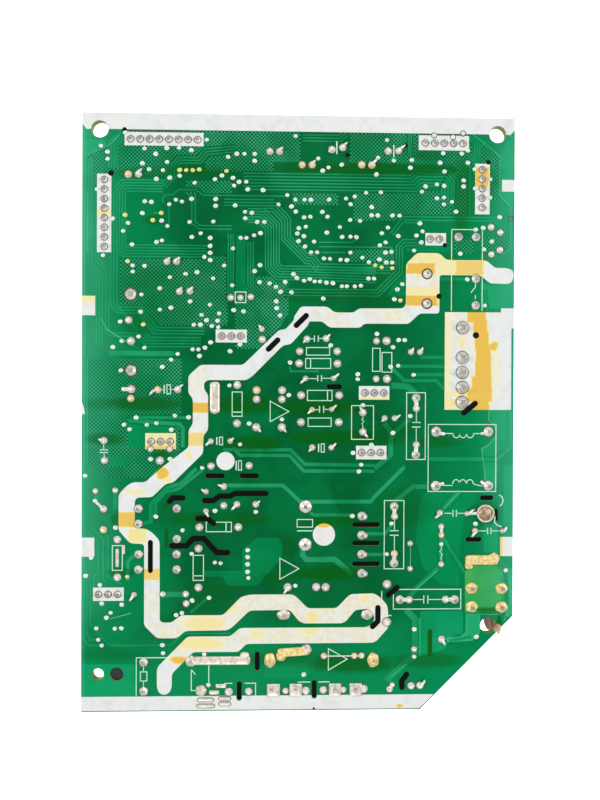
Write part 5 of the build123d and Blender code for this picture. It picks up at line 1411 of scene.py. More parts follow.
@dataclass
class Joints:
    """Soldered leads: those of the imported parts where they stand, and the small parts' by their places."""

    shape: Spots = (
        # radius and height as shares of the joint's own
        (1, -0.03), (0.97, 0.12), (0.86, 0.3), (0.72, 0.46), (0.6, 0.62), (0.5, 0.8), (0.36, 0.93),
        (0.14, 1),
    )
    small: tuple[tuple[float, Spots], ...] = (
        # radius, and the places of the joints that big
        (0.65, ((-41.5, -37), (-41.5, -41), (-31.7, -37.1), (-31.6, -41.2))),
        (0.7, ((8.5, 1.1), (44.6, -26.5), (54.2, -31.1), (24.9, -71.9))),
        (0.75, ((-18.2, -7.3), (1.6, 9.2), (9, 9.3), (3.3, 1), (-24.5, -20.6), (-24.5, -25.8),
         (29.5, -34.4), (29.5, -41.1), (-43.2, -47.7), (17.5, -32.3), (17.4, -37.3), (17.5, -42.4))),
        (0.8, ((-10, 22.2), (-23.3, -7.4), (-39, -9.5), (-34, -9.5), (8.5, -9), (22.6, -1.2),
         (25.2, -1.2), (-53.3, -20.5), (-48.2, -20.3), (46.8, -31.1), (37.8, -29.9), (37.8, -32.2),
         (37.8, -39.9), (-35.7, -47.6), (30.7, -62.5))),
        (0.85, ((-15.6, 30.4), (29.5, 16.4), (31.9, 16.4), (3.4, -9), (37.4, -26.3), (6.7, -64.1),
         (14.8, -64.1), (16.7, -64.1), (-3.4, -73.3), (11.9, -73.1))),
        (0.9, ((53.2, 48.2), (-18.2, 30.4), (-12.9, 30.6), (20.3, 19.2), (50.8, 42.4), (20.3, 9.2),
         (-19.8, -19.3), (-16.4, -24), (-11.4, -24), (-29.7, -47.6), (-29.6, -50.1), (24.2, -73),
         (17.2, -27.3))),
        (0.95, ((-42.4, 62.5), (-8, 68.9), (-5.5, 68.9), (0.5, 65.5), (3.1, 65.5), (26, 69.5),
         (50.7, 49.6), (-34.9, 39.7), (-32.4, 39.8), (-31.6, 31.9), (-28.9, 32), (1.9, 19.6), (7, 19.8),
         (53.1, 43.6), (-44.2, 3.8), (-22.3, 7.3), (-22.3, 0.7), (31, 1.4), (31, -8.2), (-19.8, -24.3),
         (25.3, -27.2), (25.3, -37.1))),
        (1, ((-45, 62.4), (8.3, 69.6), (11.2, 70.2), (16.2, 65.7), (18.9, 65.7), (23.2, 69.4),
         (-44.8, 24.3), (-9.9, 19.5), (0, 16.4), (9.9, 16.4), (-37.2, 6.1), (-32, 6.2), (-51.2, -7.3),
         (-51, -12.5), (-23.2, -13.9), (-11.3, 3.7), (-4.6, 3.7), (16.8, 0.3), (16.8, -4.8),
         (-13.2, -13.8), (-51.2, -25.2), (-51.2, -30.6), (29.3, -49.3), (39, -49.3), (38, -59.9),
         (29.9, -72.2), (32.3, -72.1), (-13.1, -73.3), (6.6, -73.1))),
        (1.05, ((-0.1, 13.2), (10, 13.2), (0.4, 4.8), (10.5, 4.8), (0.4, -2.3), (10.4, -2.3),
         (-16.4, 7.4), (-16.4, -2.7), (-11.3, 6.1), (-4.6, 6.1), (-47.6, -33.2), (-47.6, -43.1),
         (-26.4, -35.6), (-26.4, -45.9), (-26.2, -30), (-16, -30))),
        (1.1, ((-44.2, 18.8), (23, 19.3), (-44.1, 6.2), (-36.6, -12.5), (-11.3, -3.7), (-4.6, -3.7),
         (23.1, 9.2), (-2.9, -45.9), (4.6, -45.9), (7.1, -45.9), (-18.3, -73.4), (2, -73.3),
         (17.3, -72.9))),
        (1.15, ((23.4, -45.2), (23.4, -55.2))),
    )
    clinched: Rows = (
        # x, y of a bent-over lead's foot, direction in degrees, length
        (-42.4, 62.5, 50, 1.6), (-5.5, 68.9, 45, 1.3), (3.1, 65.5, 50, 1.3), (8.3, 69.6, 225, 1.2),
        (11.2, 70.2, 45, 1.6), (18.9, 65.7, 45, 2), (23.2, 69.4, 210, 1), (26, 69.5, 40, 2.1),
        (-34.9, 39.7, 45, 1.3), (-32.4, 39.8, 45, 1.4), (-31.6, 31.9, 55, 1.2), (-28.9, 32, 50, 1.4),
        (-10, 22.2, 130, 1.2), (1.9, 19.6, 225, 1.4), (7, 19.8, 45, 1.5), (29.5, 16.4, 60, 1.2),
        (31.9, 16.4, 60, 1.3), (-11.3, -3.7, -45, 1.7), (-38, 6, 225, 1.7), (-32, 6.2, 42, 1.9),
        (1.6, 9.2, 222, 1.9), (9, 9.3, 42, 1.9), (3.3, 1, 222, 1.5), (8.5, 1.1, 42, 1.7),
        (3.4, -9, 228, 1.4), (8.5, -9, 45, 1.7), (-18.2, -7.3, 40, 1.3), (-23.3, -7.4, 220, 1.6),
        (16.8, 0.3, 120, 1.8), (16.8, -4.8, -50, 1.9), (-24.5, -25.8, -60, 1.6), (-24.5, -20.6, 150, 1.3),
        (-19.8, -19.3, 160, 1.6), (37.4, -26.3, 222, 1.9), (44.6, -26.5, 35, 2.4),
        (46.8, -31.1, 235, 1.8), (54.2, -31.1, 50, 1.5), (-43.2, -47.7, 235, 1.8),
        (-51.2, -7.3, 160, 1.3), (23.4, -55.2, 120, 1), (-4.6, -3.7, -45, 1.7), (-16.4, -24, 225, 1.9),
        (-11.4, -24, 42, 1.5), (38, -59.9, -55, 1.6), (32.3, -72.1, 52, 2), (-2.9, -45.9, 235, 1.8),
        (22.6, -1.2, 222, 1.2), (25.2, -1.2, 30, 1.7),
    )
    bridges: Rows = (
        # from x, y to x, y, width: solder that runs from one joint to the next
        (30.9, 4.2, 31, 1.4, 1.1), (31, -8.2, 30.9, -10.8, 1.1), (25.2, -24.6, 25.3, -27.2, 1.1),
        (25.3, -37.1, 25.2, -39.6, 1.1), (26.8, -49.3, 29.3, -49.3, 1.1), (39, -49.3, 41.4, -49.3, 1.1),
        (-51.2, -25.2, -53.4, -23.1, 0.8), (45, -26.4, 48.2, -26.4, 0.9), (-44.1, 6.2, -46, 6.2, 1.1),
        (16.6, -27.1, 17.3, -27.4, 1.2), (24.2, -73, 24.9, -71.9, 0.9), (6.7, -64.1, 16.7, -64.1, 0.3),
        (37.8, -29.9, 37.8, -32.2, 0.9), (36.6, -5, 38.4, -5.3, 1), (50.3, -5, 48.4, -5.2, 0.8),
        (36.6, -19.2, 38.2, -18.4, 0.9), (49.9, -19.2, 48.4, -18, 0.9),
    )
    cream: Spots = (
        (-45, 62.4), (0.5, 65.5), (3.1, 65.5), (16.2, 65.7), (18.9, 65.7), (-44.2, 3.8), (-37.2, 6.1),
        (25.3, -37.1), (37.8, -32.2), (46.8, -31.1), (3.3, 1), (3.4, -9), (6.7, -64.1), (14.8, -64.1),
        (-51.2, -30.6), (-11.3, 6.1),
    )
    cleared: Rows = (
        # middle and inner radius of the bare ring round a joint or via
        (35.4, 73.7, 0.6), (40.4, 73.3, 0.6), (43.1, 74.3, 0.6), (-44.2, 11.1, 1.6), (-44.1, 6.2, 1.3),
        (-44.3, 31, 1.7), (56, 52, 0.55),
    )
    # dark lines along the lower edge of the white print over the headers: painted shadow
    print_shadows: Routes = (((-45.4, 73.85), (-25.6, 73.85)), ((31.4, 74.05), (45.0, 74.05)))
    header_radius: float = 1.0
    header_height: float = 0.6
    power_radius: float = 1.65
    power_height: float = 1.25
    bulk_radius: float = 1.7            # the bulk capacitor's two joints
    bulk_middle: Spot = (1.7, -30)
    bulk_reach: float = 6.0
    height: float = 0.95
    overlap: float = 0.8                # inner radius of a rim, as a share of its joint's
    rim: float = 0.12                   # how far a rim stands out round its joint
    cleared_width: float = 0.2
    print_shadow_width: float = 0.24

    def build(self) -> None:
        """Makes the joints, grey under the headers and bright or cream elsewhere, with their dark rims and
        painted shadow lines along the print's lower edge.
        """
        grey, bright, cream, rims = Sculpt(), Sculpt(), Sculpt(), Sculpt()
        for x, y, inner in self.cleared:
            rims.rim(x, y, inner, inner + self.cleared_width, Rise.SLOT)
        # painted shadow along the print's lower edge, in the rims' dark finish
        for print_shadow in self.print_shadows:
            rims.line(print_shadow, self.print_shadow_width, Rise.PRINT)
        for x, y in lead_tops("header_pins"):
            self._joint(grey, x, y, self.header_radius * 0.86, self.header_height)
            rims.rim(x, y, self.header_radius * self.overlap, self.header_radius)
        for x, y in lead_tops("power_header_pins"):
            self._joint(grey, x, y, self.power_radius, self.power_height)
            rims.rim(x, y, 1.4, self.power_radius + 0.13)
        sizes = {"transformer_pins": 1.1, "choke_pins": 1.35, "power_leads": 1.15}
        for node, radius in sizes.items():
            for x, y in lead_tops(node):
                size = self.bulk_radius if math.dist((x, y), self.bulk_middle) < self.bulk_reach else radius
                self._joint(bright, x, y, size, self.height)
                rims.rim(x, y, size * self.overlap, size + self.rim)
        for radius, places in self.small:
            for x, y in places:
                self._joint(cream if (x, y) in self.cream else bright, x, y, radius, self.height * radius)
                rims.rim(x, y, radius * self.overlap, radius + self.rim)
        for x, y, turn, length in self.clinched:
            lean = math.radians(turn)
            along, across = math.cos(lean), math.sin(lean)
            steps = zip((0.0, 0.3, length * 0.7, length), (0.35, 0.75, 0.62, 0.42))
            bright.tube([(x + along * out, y + across * out, SOLDERED_FACE + high) for out, high in steps],
                        (0.42, 0.4, 0.33, 0.24))
        for x1, y1, x2, y2, width in self.bridges:
            run = math.dist((x1, y1), (x2, y2))
            bright.lump((x1 + x2) / 2, (y1 + y2) / 2, SOLDERED_FACE, run + 0.6, width, 0.4,
                        math.degrees(math.atan2(y2 - y1, x2 - x1)), 0.48)
        dull = Solder("grey_joint", paint(226, 221, 217), paint(176, 168, 162), paint(96, 84, 72),
                      0.1, 0.6, 0.3, 0.4)
        fluxed = Solder("fluxed_joint", paint(246, 232, 196), paint(222, 196, 148), paint(130, 98, 40),
                        0.2, 0.8, 0.3, 0.2)
        grey.piece("header_joints", dull.material(), "tinned_leads")
        bright.piece("lead_joints", Solder("bright_joint").material(), "tinned_leads")
        cream.piece("fluxed_joints", fluxed.material(), "tinned_leads")
        # the rims' piece also holds the painted shadow lines along the print
        rims.piece("joint_rims", DarkLine().material())

    def _joint(self, sculpt: Sculpt, x: float, y: float, radius: float, height: float) -> None:
        """One cone of solder round a lead.

        Args:
            sculpt: Mesh that it joins.
            x: Middle, across the board.
            y: Middle, up the board.
            radius: Radius at its foot.
            height: Height of its tip.
        """
        profile = [(radius * share, height * lift) for share, lift in self.shape]
        sculpt.turned(x, y, SOLDERED_FACE, profile, 18, ragged=0.05)


@dataclass
class TinnedCopper:
    """Mains tracks left open and thickened with solder, and the wide pads."""

    strips: Rows = (
        # middle x, y, size along x, size along y, height, turn
        (-21, -65.1, 16.7, 2.3, 0.75, 0), (-22.25, 4.1, 2.7, 8.3, 0.6, 0),
        (-47.6, -38, 0.9, 4.8, 0.35, 0), (-46, -35.8, 0.9, 2.5, 0.35, 0),
        (-20.4, -71.8, 2.8, 1.1, 0.45, 0), (-22.2, -73.5, 2.7, 1.1, 0.45, 0),
    )
    pads: Rows = (
        # middle x and size along x of the square pads in the bottom row
        (-6.6, 3.5), (-0.7, 3.4), (9.7, 3.3), (15.2, 3.4),
    )
    ovals: Rows = (
        # middle and length of the flat tinned ovals on the bottom print
        (-24.4, -75.5, 4.3), (-24.4, -77.1, 4.7), (-19.4, -75.2, 3.2), (-19.4, -76.6, 3.2),
    )
    stained_strips: Rows = (
        (-1.3, -62.9, 8.6, 2.3, 0.8, 4), (48.6, -38.8, 8.9, 2.7, 0.8, 0), (45.2, -40.2, 2.2, 2, 0.6, 0),
    )
    stained_lobes: Rows = (
        # x, y, radius, stretch along y, height
        (-4.6, -64, 1.4, 1, 1.1), (-7.6, -65.2, 1.55, 1.28, 1), (19.8, -65.2, 1.6, 1.25, 1),
        (46, -46.3, 1.7, 0.9, 0.8), (54, -46.5, 1.7, 0.9, 0.8), (46, -51.2, 1.7, 0.9, 0.8),
        (54.1, -51.4, 1.7, 0.9, 0.8), (51.8, -38.4, 1.6, 1, 1),
    )
    lobes: Rows = (
        # x, y, radius, stretch along y, height
        (-28.3, -65.3, 1.5, 1, 1.15), (-20.3, -65.2, 1.2, 1, 1), (-14.2, -64.3, 1.4, 1, 1),
        (-25.6, -73, 1.5, 1, 1.05), (2, -62.4, 1.4, 1, 1.1), (-3.9, -53.2, 1.8, 0.75, 1),
        (18, -53.2, 1.6, 0.85, 1), (-44.3, 31, 1.5, 1, 0.95), (-44.2, 11.1, 1.4, 1, 0.95),
    )

    eyelet: Spots = (
        # radius and height of the solder that fills the riveted eyelet, from its rim inwards
        (1.96, 0.3), (1.94, 0.52), (1.7, 0.54), (1.6, 0.82), (1.2, 1.1), (0.7, 1.05), (0.4, 1.3),
        (0.08, 1.4),
    )
    eyelet_rim: Spots = ((2.34, -0.02), (2.37, 0.5), (2.24, 0.68), (2.05, 0.64), (1.94, 0.46), (0.1, 0.44))
    eyelet_middle: Spot = (49.5, -26.4)
    edge_drop: tuple[float, float, float, float] = (52.9, -57.0, 1.25, 0.95)    # a joint by the cut corner
    pad_row: float = -73.1      # middle of the square pads
    pad_length: float = 3.5
    pad_height: float = 0.5

    def build(self) -> None:
        """Makes the thickened strips and the lobes round their leads."""
        strips, yellow = Sculpt(), Sculpt()
        for x, y, width, length, height, turn in self.strips:
            strips.lump(x, y, SOLDERED_FACE, width, length, height, turn)
        for x, y, radius, stretch, height in (*self.lobes, *self.stained_lobes):
            profile = [(radius * share, height * lift) for share, lift in Joints.shape]
            sheet = yellow if (x, y, radius, stretch, height) in self.stained_lobes else strips
            sheet.turned(x, y, SOLDERED_FACE, profile, 22, (1.0, stretch), ragged=0.1)
        for x, y, width, length, height, turn in self.stained_strips:
            yellow.lump(x, y, SOLDERED_FACE, width, length, height, turn)
        burnt, outlines = Sculpt(), Sculpt()
        burnt.turned(*self.eyelet_middle, SOLDERED_FACE, self.eyelet, 36, ragged=0.02)
        strips.turned(*self.eyelet_middle, SOLDERED_FACE, self.eyelet_rim, 40)
        x, y, radius, height = self.edge_drop
        profile = [(radius * share, height * lift) for share, lift in Joints.shape]
        burnt.turned(x, y, SOLDERED_FACE, profile, 20)
        for x, width in self.pads:
            strips.lump(x, self.pad_row, SOLDERED_FACE, width, self.pad_length, self.pad_height, 0, 0.1)
        for x, y, length in self.ovals:
            ends = ((x - length / 2 + 0.5, y), (x + length / 2 - 0.5, y))
            outlines.layer([capsule(*ends, 1.25)], Rise.PRINT)
            strips.lump(x, y, SOLDERED_FACE, length - 0.1, 0.9, 0.3, 0, 0.5)
        outline = DarkLine("oval_outline", paint(70, 74, 66), paint(96, 96, 84))
        outlines.piece("oval_outlines", outline.material())
        charred = Solder("burnt_joint", paint(196, 172, 140), paint(120, 92, 62), paint(70, 50, 20),
                         0.3, 0.8, 0.3, 0.3)
        tinned = Solder("tinned_strip", paint(236, 228, 216), paint(206, 192, 176), paint(130, 108, 64),
                        0.24, 0.9, 0.3)
        stained = Solder("stained_strip", paint(244, 226, 160), paint(214, 176, 104), paint(132, 96, 30),
                         0.3, 0.8, 0.3, 0.2)
        burnt.piece("burnt_joints", charred.material(), "tinned_leads")
        strips.piece("tinned_strips", tinned.material(), "tinned_leads")
        yellow.piece("stained_strips", stained.material(), "tinned_leads")


def lead_tops(node: str) -> list[Spot]:
    """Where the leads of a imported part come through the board.

    Args:
        node: Name of the part's node.

    Returns:
        The middle of each lead above the soldered face.
    """
    mesh = bmesh.new()
    mesh.from_mesh(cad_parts[node].data)
    bmesh.ops.remove_doubles(mesh, verts=mesh.verts, dist=1e-7)
    unseen, spots = set(mesh.verts), []
    while unseen:
        grown = [unseen.pop()]
        for vert in grown:
            near = {edge.other_vert(vert) for edge in vert.link_edges} & unseen
            unseen -= near
            grown.extend(near)
        top = [vert.co / MM for vert in grown if vert.co.z / MM > SOLDERED_FACE + CLEAR]
        if top:
            spots.append((sum(co.x for co in top) / len(top), sum(co.y for co in top) / len(top)))
    mesh.free()
    return sorted((round(x, 3), round(y, 3)) for x, y in spots)


@dataclass
class PartSymbols:
    """Thin printed outlines of the parts behind the board, with their bars, bands and signs."""

    line: float = 0.22
    boxes: Rows = (
        # left, bottom, right, top
        (1.8, 15.4, 7.9, 17.4), (-17, 29.1, -14.2, 31.9), (-34.8, 5, -33.9, 7.4), (1.6, 11.9, 8.2, 14.5),
        (2.1, 3.4, 8.6, 6.1), (2.3, -3.4, 8.4, -1.2), (-17.7, -0.8, -15.1, 5.6), (13.8, -6.8, 19.6, 2.1),
        (19.3, 11.2, 21.3, 17.3), (21.8, 11, 24.4, 16.2), (28.4, -12.1, 33.4, 5.6),
        (34.2, -20.6, 52.3, -2.8), (-48.9, -41.3, -46.3, -34.8), (-27.8, -44, -25.1, -37.4),
        (-24.4, -31.2, -17.8, -28.7), (-0.5, -30, 3.6, -28), (22.6, -41.1, 27.8, -23),
        (25.1, -51.8, 43.1, -46.6), (-41.5, -70.4, -39.8, -68), (5.8, -10.2, 6.6, -8),
        (-21, -8.3, -20.2, -6.3), (-16, -15, -15.2, -12.5),
    )
    strokes: tuple[tuple[float, Routes], ...] = (
        # width, and the routes of the lines that wide
        (0.18, (
         ((16.8, -0.4), (16.8, -1.3), (16.5, -1.6), (17.1, -2.1), (16.5, -2.7), (16.8, -3.1), (16.8, -3.9)),
         ((37.8, -35.2), (37.8, -36.2), (37.4, -36.6), (38.1, -37.3), (37.8, -37.7), (37.8, -39)))),
        (0.2, (((3.3, 1), (5.3, 1)), ((6.4, 1.1), (8.5, 1.1)), ((1.6, 9.2), (4.8, 9.2)),
         ((5.8, 9.3), (9, 9.3)), ((1.9, 19.7), (3.9, 19.7)), ((4.9, 19.8), (7, 19.8)),
         ((38.6, -26.4), (40.9, -26.4)), ((41.8, -26.4), (44, -26.4)), ((47.6, -31.1), (50.2, -31.1)),
         ((51.1, -31.1), (53.4, -31.1)), ((31, 0.5), (31, -2.3)), ((31, -3.5), (31, -7.4)),
         ((25.3, -28), (25.3, -31)), ((25.3, -32.2), (25.3, -36.4)), ((30.2, -49.3), (33.2, -49.3)),
         ((34.3, -49.3), (38.2, -49.3)), ((-40.7, -66.5), (-40.7, -68)), ((-40.7, -70.4), (-40.7, -72.2)),
         ((-51.2, -8.2), (-51.2, -9.7)), ((-51.1, -10.4), (-51.1, -11.6)), ((-36.2, 6.1), (-35.5, 6.1)),
         ((-33.9, 6.2), (-33, 6.2)))),
        (0.22, (((40.2, 48.9), (40.2, 27.3)), ((40.2, 48.9), (46, 48.9)), ((48.4, 48.9), (48.4, 27.3)),
         ((46.6, 35), (46.6, 33.7), (45.4, 32.2)), ((46.6, 30.5), (46.6, 31.6)),
         ((-42.6, -74.4), (-42.6, -64.3), (-34.4, -64.3)), ((-28.2, -67.5), (-28.2, -73), (-27, -73)),
         ((-28.2, -67.5), (-27.1, -68.8)), ((-23.6, -66), (-23.6, -71)), ((-19.6, -71.2), (-17.4, -71.2)),
         ((-14.2, -71.2), (-11.3, -71.2), (-11.3, -74.5)), ((-0.2, -71), (3.2, -71)),
         ((5.3, -71), (8.3, -71)), ((22, -47), (22, -53.5), (24.6, -53.5)), ((37.6, -5.2), (40.8, -5.2)),
         ((46.3, -5.2), (48.8, -5.2)), ((37.6, -19), (40.8, -19)), ((46.3, -18.6), (48.8, -19.2)))),
        (0.25, (((3.9, 18.9), (3.9, 20.6)), ((4.9, 18.9), (4.9, 20.6)), ((4.8, 8.5), (4.8, 10.1)),
         ((5.8, 8.5), (5.8, 10.1)), ((5.3, 0.2), (5.3, 2)), ((6.4, 0.2), (6.4, 2)),
         ((2.9, 11.9), (2.9, 14.5)), ((7.4, 3.4), (7.4, 6.1)), ((-17.7, 0.3), (-15.1, 0.3)),
         ((-52.2, -9.7), (-50.1, -9.7)), ((-52.2, -10.4), (-50.1, -10.4)), ((29.9, -2.3), (32.1, -2.3)),
         ((29.9, -3.5), (32.1, -3.5)), ((24.1, -31), (26.4, -31)), ((24.1, -32.2), (26.4, -32.2)),
         ((33.2, -50.4), (33.2, -48.2)), ((34.3, -50.4), (34.3, -48.2)), ((40.9, -27.3), (40.9, -25.5)),
         ((41.8, -27.3), (41.8, -25.5)), ((50.2, -31.9), (50.2, -30.3)), ((51.1, -31.9), (51.1, -30.3)),
         ((-0.5, -31), (3.6, -31)), ((-27.8, -42.8), (-25.1, -42.8)), ((-19.2, -31.2), (-19.2, -28.7)))),
        (0.26, (((53.2, -21.5), (54, -22), (54.3, -23), (54, -24), (53.4, -24.5)),
         ((52.2, -27.2), (52, -28.8), (52.8, -29.6), (54, -30)))),
        (0.3, (((24.7, 67.8), (24.7, 71)), ((5.1, -10.2), (5.1, -8)), ((-35.5, 5.1), (-35.5, 7.3)),
         ((-21.7, -8.3), (-21.7, -6.3)), ((-16.6, -15), (-16.6, -12.5)))),
        (0.34, (((9.6, 68.4), (9.6, 71.8)),)),
    )
    triangles: Routes = (
        ((-7.7, 3.2), (-7.7, -2.2), (-2.8, 0.5)), ((-5, -38.2), (-5, -43.8), (0, -41)),
        ((7.9, -62.2), (7.9, -67.9), (12.9, -65)),
    )
    rings: Rows = (
        # x, y, inner radius, outer radius
        (49.5, -26.4, 1.98, 2.35), (40.7, 11, 0.62, 0.82), (40.3, 8, 0.62, 0.82), (40.7, 4.3, 0.62, 0.82),
    )
    winding_x: tuple[float, ...] = (41.7, 43.5, 45.4)

    def build(self) -> None:
        """Makes all the printed lines as one piece."""
        print_lines = Sculpt()
        for corners in (*(oblong(*box) for box in self.boxes), *self.triangles):
            print_lines.line(corners, self.line, Rise.PRINT, closed=True)
        for width, routes in self.strokes:
            for route in routes:
                print_lines.line(route, width, Rise.PRINT)
        for ring in self.rings:
            print_lines.rim(*ring, Rise.PRINT)
        for y, way in ((-5.2, -1), (-18.6, 1)):
            for x in self.winding_x:
                arc = [(x + 0.93 * math.cos(math.pi * k / 8), y + way * 1.15 * math.sin(math.pi * k / 8))
                       for k in range(9)]
                print_lines.line(arc, self.line, Rise.PRINT)
        thin = WhitePrint("thin_print", paint(204, 232, 214), paint(166, 212, 182), paint(196, 218, 142))
        print_lines.piece("part_symbols", thin.material())


@dataclass
class BlindHoles:
    """Small unplated holes, shown as black discs of painted shadow, and faded slots that show dark."""

    holes: Rows = (
        (-46, 74.1, 0.6), (-49.5, 62.7, 0.75), (12.5, 68.2, 0.6), (27.8, 70.9, 0.6), (49.9, 66.8, 0.6),
        (38.4, 44.7, 0.6), (46.8, 20.9, 0.85), (36.9, 31.2, 0.7), (4.1, -78, 0.3),
    )
    faded: tuple[tuple[Spot, Spot, float], ...] = (
        # from, to, width
        ((-34.8, -30.8), (-34.8, -35), 0.9), ((-35.3, -24.6), (-34.4, -23.6), 1.1),
        ((34.9, -57.8), (34.9, -63.8), 1.2),
    )
    step_up: float = 0.004      # how much higher than a track the faded slots lie

    def build(self) -> None:
        """Makes the black discs of painted hole shadow, and the faded slots."""
        dark = Sculpt()
        # black disc of painted shadow over each small hole
        for x, y, radius in self.holes:
            dark.layer([circle(x, y, radius, 20)], Rise.PRINT)
        dark.piece("painted_hole_shadows", DarkLine("painted_hole_shadow", paint(2, 4, 2), paint(5, 8, 4), 0.15).material())
        faded = Sculpt()
        for start, end, width in self.faded:
            faded.layer([capsule(start, end, width)], Rise.TRACK + self.step_up)
        faded.piece("faded_slots", DarkLine("faded_slot", paint(8, 84, 0), paint(0, 92, 14), 0.1).material())


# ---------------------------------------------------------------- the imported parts
@dataclass
class PackedParts:
    """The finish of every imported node, by the record's material slots."""

    finishes: dict[str, object] = field(default_factory=lambda: {
        "board": SolderMask("solder_mask", Green.BARE),
        "white_nylon": Moulded("white_nylon", paint(238, 236, 226), paint(224, 220, 206), 0.42, 0.2, 0.012),
        "tinned_leads": Plated("tinned_lead", paint(204, 204, 200), paint(150, 148, 142), Lay.ALONG_Z, 0.26),
        "tinned_metal": Plated("tinned_sheet", paint(206, 206, 204), paint(160, 160, 158), Lay.ALONG_X,
                               0.28),
        "plated_brass": Plated("plated_cap", paint(214, 208, 196), paint(170, 160, 140), Lay.ALONG_X, 0.24),
        "aluminium": Plated("rolled_aluminium", paint(190, 193, 196), paint(150, 154, 158), Lay.ALONG_Y,
                            0.38, 0.2, 0.02),
        "screw_steel": Plated("zinc_plate", paint(190, 190, 184), paint(140, 140, 130), Lay.NONE, 0.34),
        "ferrite": Moulded("sintered_ferrite", paint(44, 44, 48), paint(66, 66, 70), 0.62, 0.3, 0.06, 3.0,
                           0.5),
        "bobbin": Moulded("bobbin_resin", paint(30, 30, 32), paint(44, 44, 46), 0.5),
        "black_epoxy": Moulded("black_epoxy", paint(26, 26, 28), paint(44, 44, 46), 0.58, 0.12, 0.02),
        "relay_cover": Moulded("relay_cover", paint(30, 32, 36), paint(42, 44, 50), 0.3, 0.25, 0.01, 6.0,
                               0.5),
        "box_film": Moulded("film_box", paint(206, 202, 184), paint(190, 186, 164), 0.5, 0.2, 0.02),
        "yellow_box": Moulded("yellow_box", paint(232, 196, 58), paint(214, 176, 44), 0.42, 0.22, 0.015),
        "blue_coat": Moulded("blue_dip", paint(34, 92, 158), paint(26, 74, 134), 0.24, 0.6, 0.05, 3.0, 0.5,
                             0.5),
        "green_coat": Moulded("green_dip", paint(46, 84, 56), paint(34, 64, 44), 0.4, 0.5, 0.05, 2.0),
        "brown_coat": Moulded("brown_dip", paint(158, 92, 42), paint(128, 70, 32), 0.34, 0.5, 0.05, 2.0),
        "resistor_coat": Moulded("resistor_lacquer", paint(122, 168, 176), paint(104, 148, 158), 0.3, 0.4,
                                 0.02, 1.5, 0.5, 0.3),
        "chip_ceramic": Moulded("chip_ceramic", paint(118, 98, 78), paint(84, 70, 58), 0.5, 0.1, 0.01, 0.6),
        "post_plastic": Moulded("post_nylon", paint(28, 28, 30), paint(44, 44, 46), 0.5),
        "glass_tube": Moulded("fuse_glass", paint(226, 236, 232), paint(214, 226, 222), 0.06, 0.8, 0.004,
                              4.0, 0.5, 0.0, 0.85),
        "can_sleeve": CapacitorSleeve(),
        "yellow_tape": WoundLayers("polyester_tape", paint(236, 196, 48), paint(206, 160, 30), 2.4, "Y"),
        "magnet_wire": WoundLayers("magnet_wire", paint(188, 96, 42), paint(92, 38, 16), 0.5, "Y", 0.75,
                                   0.25),
    })

    def build(self) -> None:
        """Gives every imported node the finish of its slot."""
        made = {slot: finish.material() for slot, finish in self.finishes.items()}
        for name, node in sorted(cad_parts.items()):
            for holder in node.material_slots:
                slot = holder.material.name.split(".")[0] if holder.material else "board"
                holder.link = "DATA"
                holder.material = made.get(slot, holder.material)
                LOG.info("%s wears %s", name, holder.material.name)


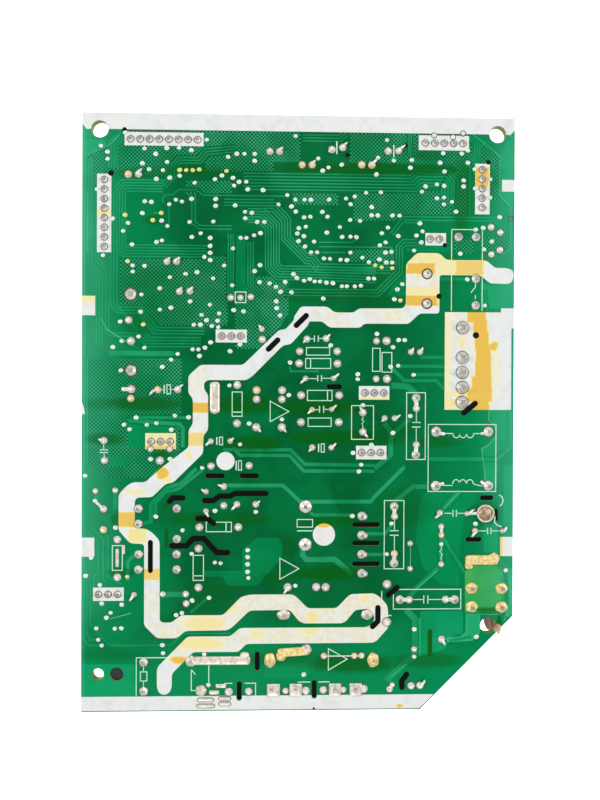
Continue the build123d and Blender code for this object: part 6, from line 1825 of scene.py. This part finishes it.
# ---------------------------------------------------------------- the studio
@dataclass
class Studio:
    """Camera above the soldered face, four side lights and a paper floor."""

    height_over_board: float = 146.553
    camera_x: float = -3.156
    camera_y: float = 4.090
    lens: float = 25.0
    right: tuple[float, float, float] = (0.99974, 0.00382, 0.02249)
    up: tuple[float, float, float] = (-0.00373, 0.99999, -0.00383)
    back: tuple[float, float, float] = (-0.02250, 0.00375, 0.99974)
    floor_size: float = 4000.0
    lights: tuple[tuple[str, Spot, float, float, float], ...] = (
        # name, direction over the floor, distance, height and power
        ("left_softbox", (-1, 0.15), 420, 330, 1.35), ("right_softbox", (1, 0.1), 420, 330, 1.2),
        ("far_softbox", (0.1, 1), 460, 380, 0.85), ("near_softbox", (-0.1, -1), 460, 380, 0.9),
    )
    softbox: float = 300.0
    sky: float = 0.34

    def build(self) -> None:
        """Makes the camera, the lights, the world and the floor."""
        scene = bpy.context.scene
        scene.view_settings.view_transform = "Standard"
        camera = bpy.data.objects.new("camera", bpy.data.cameras.new("camera"))
        camera.data.lens = self.lens
        camera.data.sensor_width = 36.0
        camera.data.clip_start = 0.01
        camera.data.clip_end = 20.0
        turn = Matrix((self.right, self.up, self.back)).transposed().to_4x4()
        spot = Vector((self.camera_x, self.camera_y, SOLDERED_FACE + self.height_over_board)) * MM
        camera.matrix_world = Matrix.Translation(spot) @ turn
        scene.collection.objects.link(camera)
        scene.camera = camera

        for name, (way_x, way_y), distance, height, power in self.lights:
            lamp = bpy.data.lights.new(name, "AREA")
            lamp.shape = "SQUARE"
            lamp.size = self.softbox * MM
            lamp.energy = power
            holder = bpy.data.objects.new(name, lamp)
            holder.location = Vector((way_x * distance, way_y * distance, height)) * MM
            holder.rotation_euler = (-holder.location).to_track_quat("-Z", "Y").to_euler()
            scene.collection.objects.link(holder)

        world = bpy.data.worlds.new("studio_walls")
        world.use_nodes = True
        backdrop = world.node_tree.nodes["Background"]
        backdrop.inputs["Color"].default_value = (1.0, 1.0, 1.0, 1.0)
        backdrop.inputs["Strength"].default_value = self.sky
        scene.world = world

        floor_mesh = bmesh.new()
        bmesh.ops.create_grid(floor_mesh, x_segments=4, y_segments=4, size=self.floor_size / 2 * MM)
        bmesh.ops.translate(floor_mesh, verts=floor_mesh.verts, vec=(0.0, 0.0, -0.0002))
        sheet = bpy.data.meshes.new("floor")
        floor_mesh.to_mesh(sheet)
        floor_mesh.free()
        sheet.materials.append(PaleFloor().material())
        floor = bpy.data.objects.new("floor", sheet)
        scene.collection.objects.link(floor)


def main() -> None:
    """Builds the board's face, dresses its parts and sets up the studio."""
    logging.basicConfig(level=logging.INFO, format="%(message)s")
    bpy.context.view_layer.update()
    for part in (PackedParts(), SLOTS, CopperAreas(), Tracks(), BarrierBand(), PrintedFields(),
                 PartSymbols(), BlindHoles(), Vias(), Joints(), TinnedCopper(), Studio()):
        part.build()
        LOG.info("%s done", type(part).__name__)


if __name__ == "__main__":
    main()
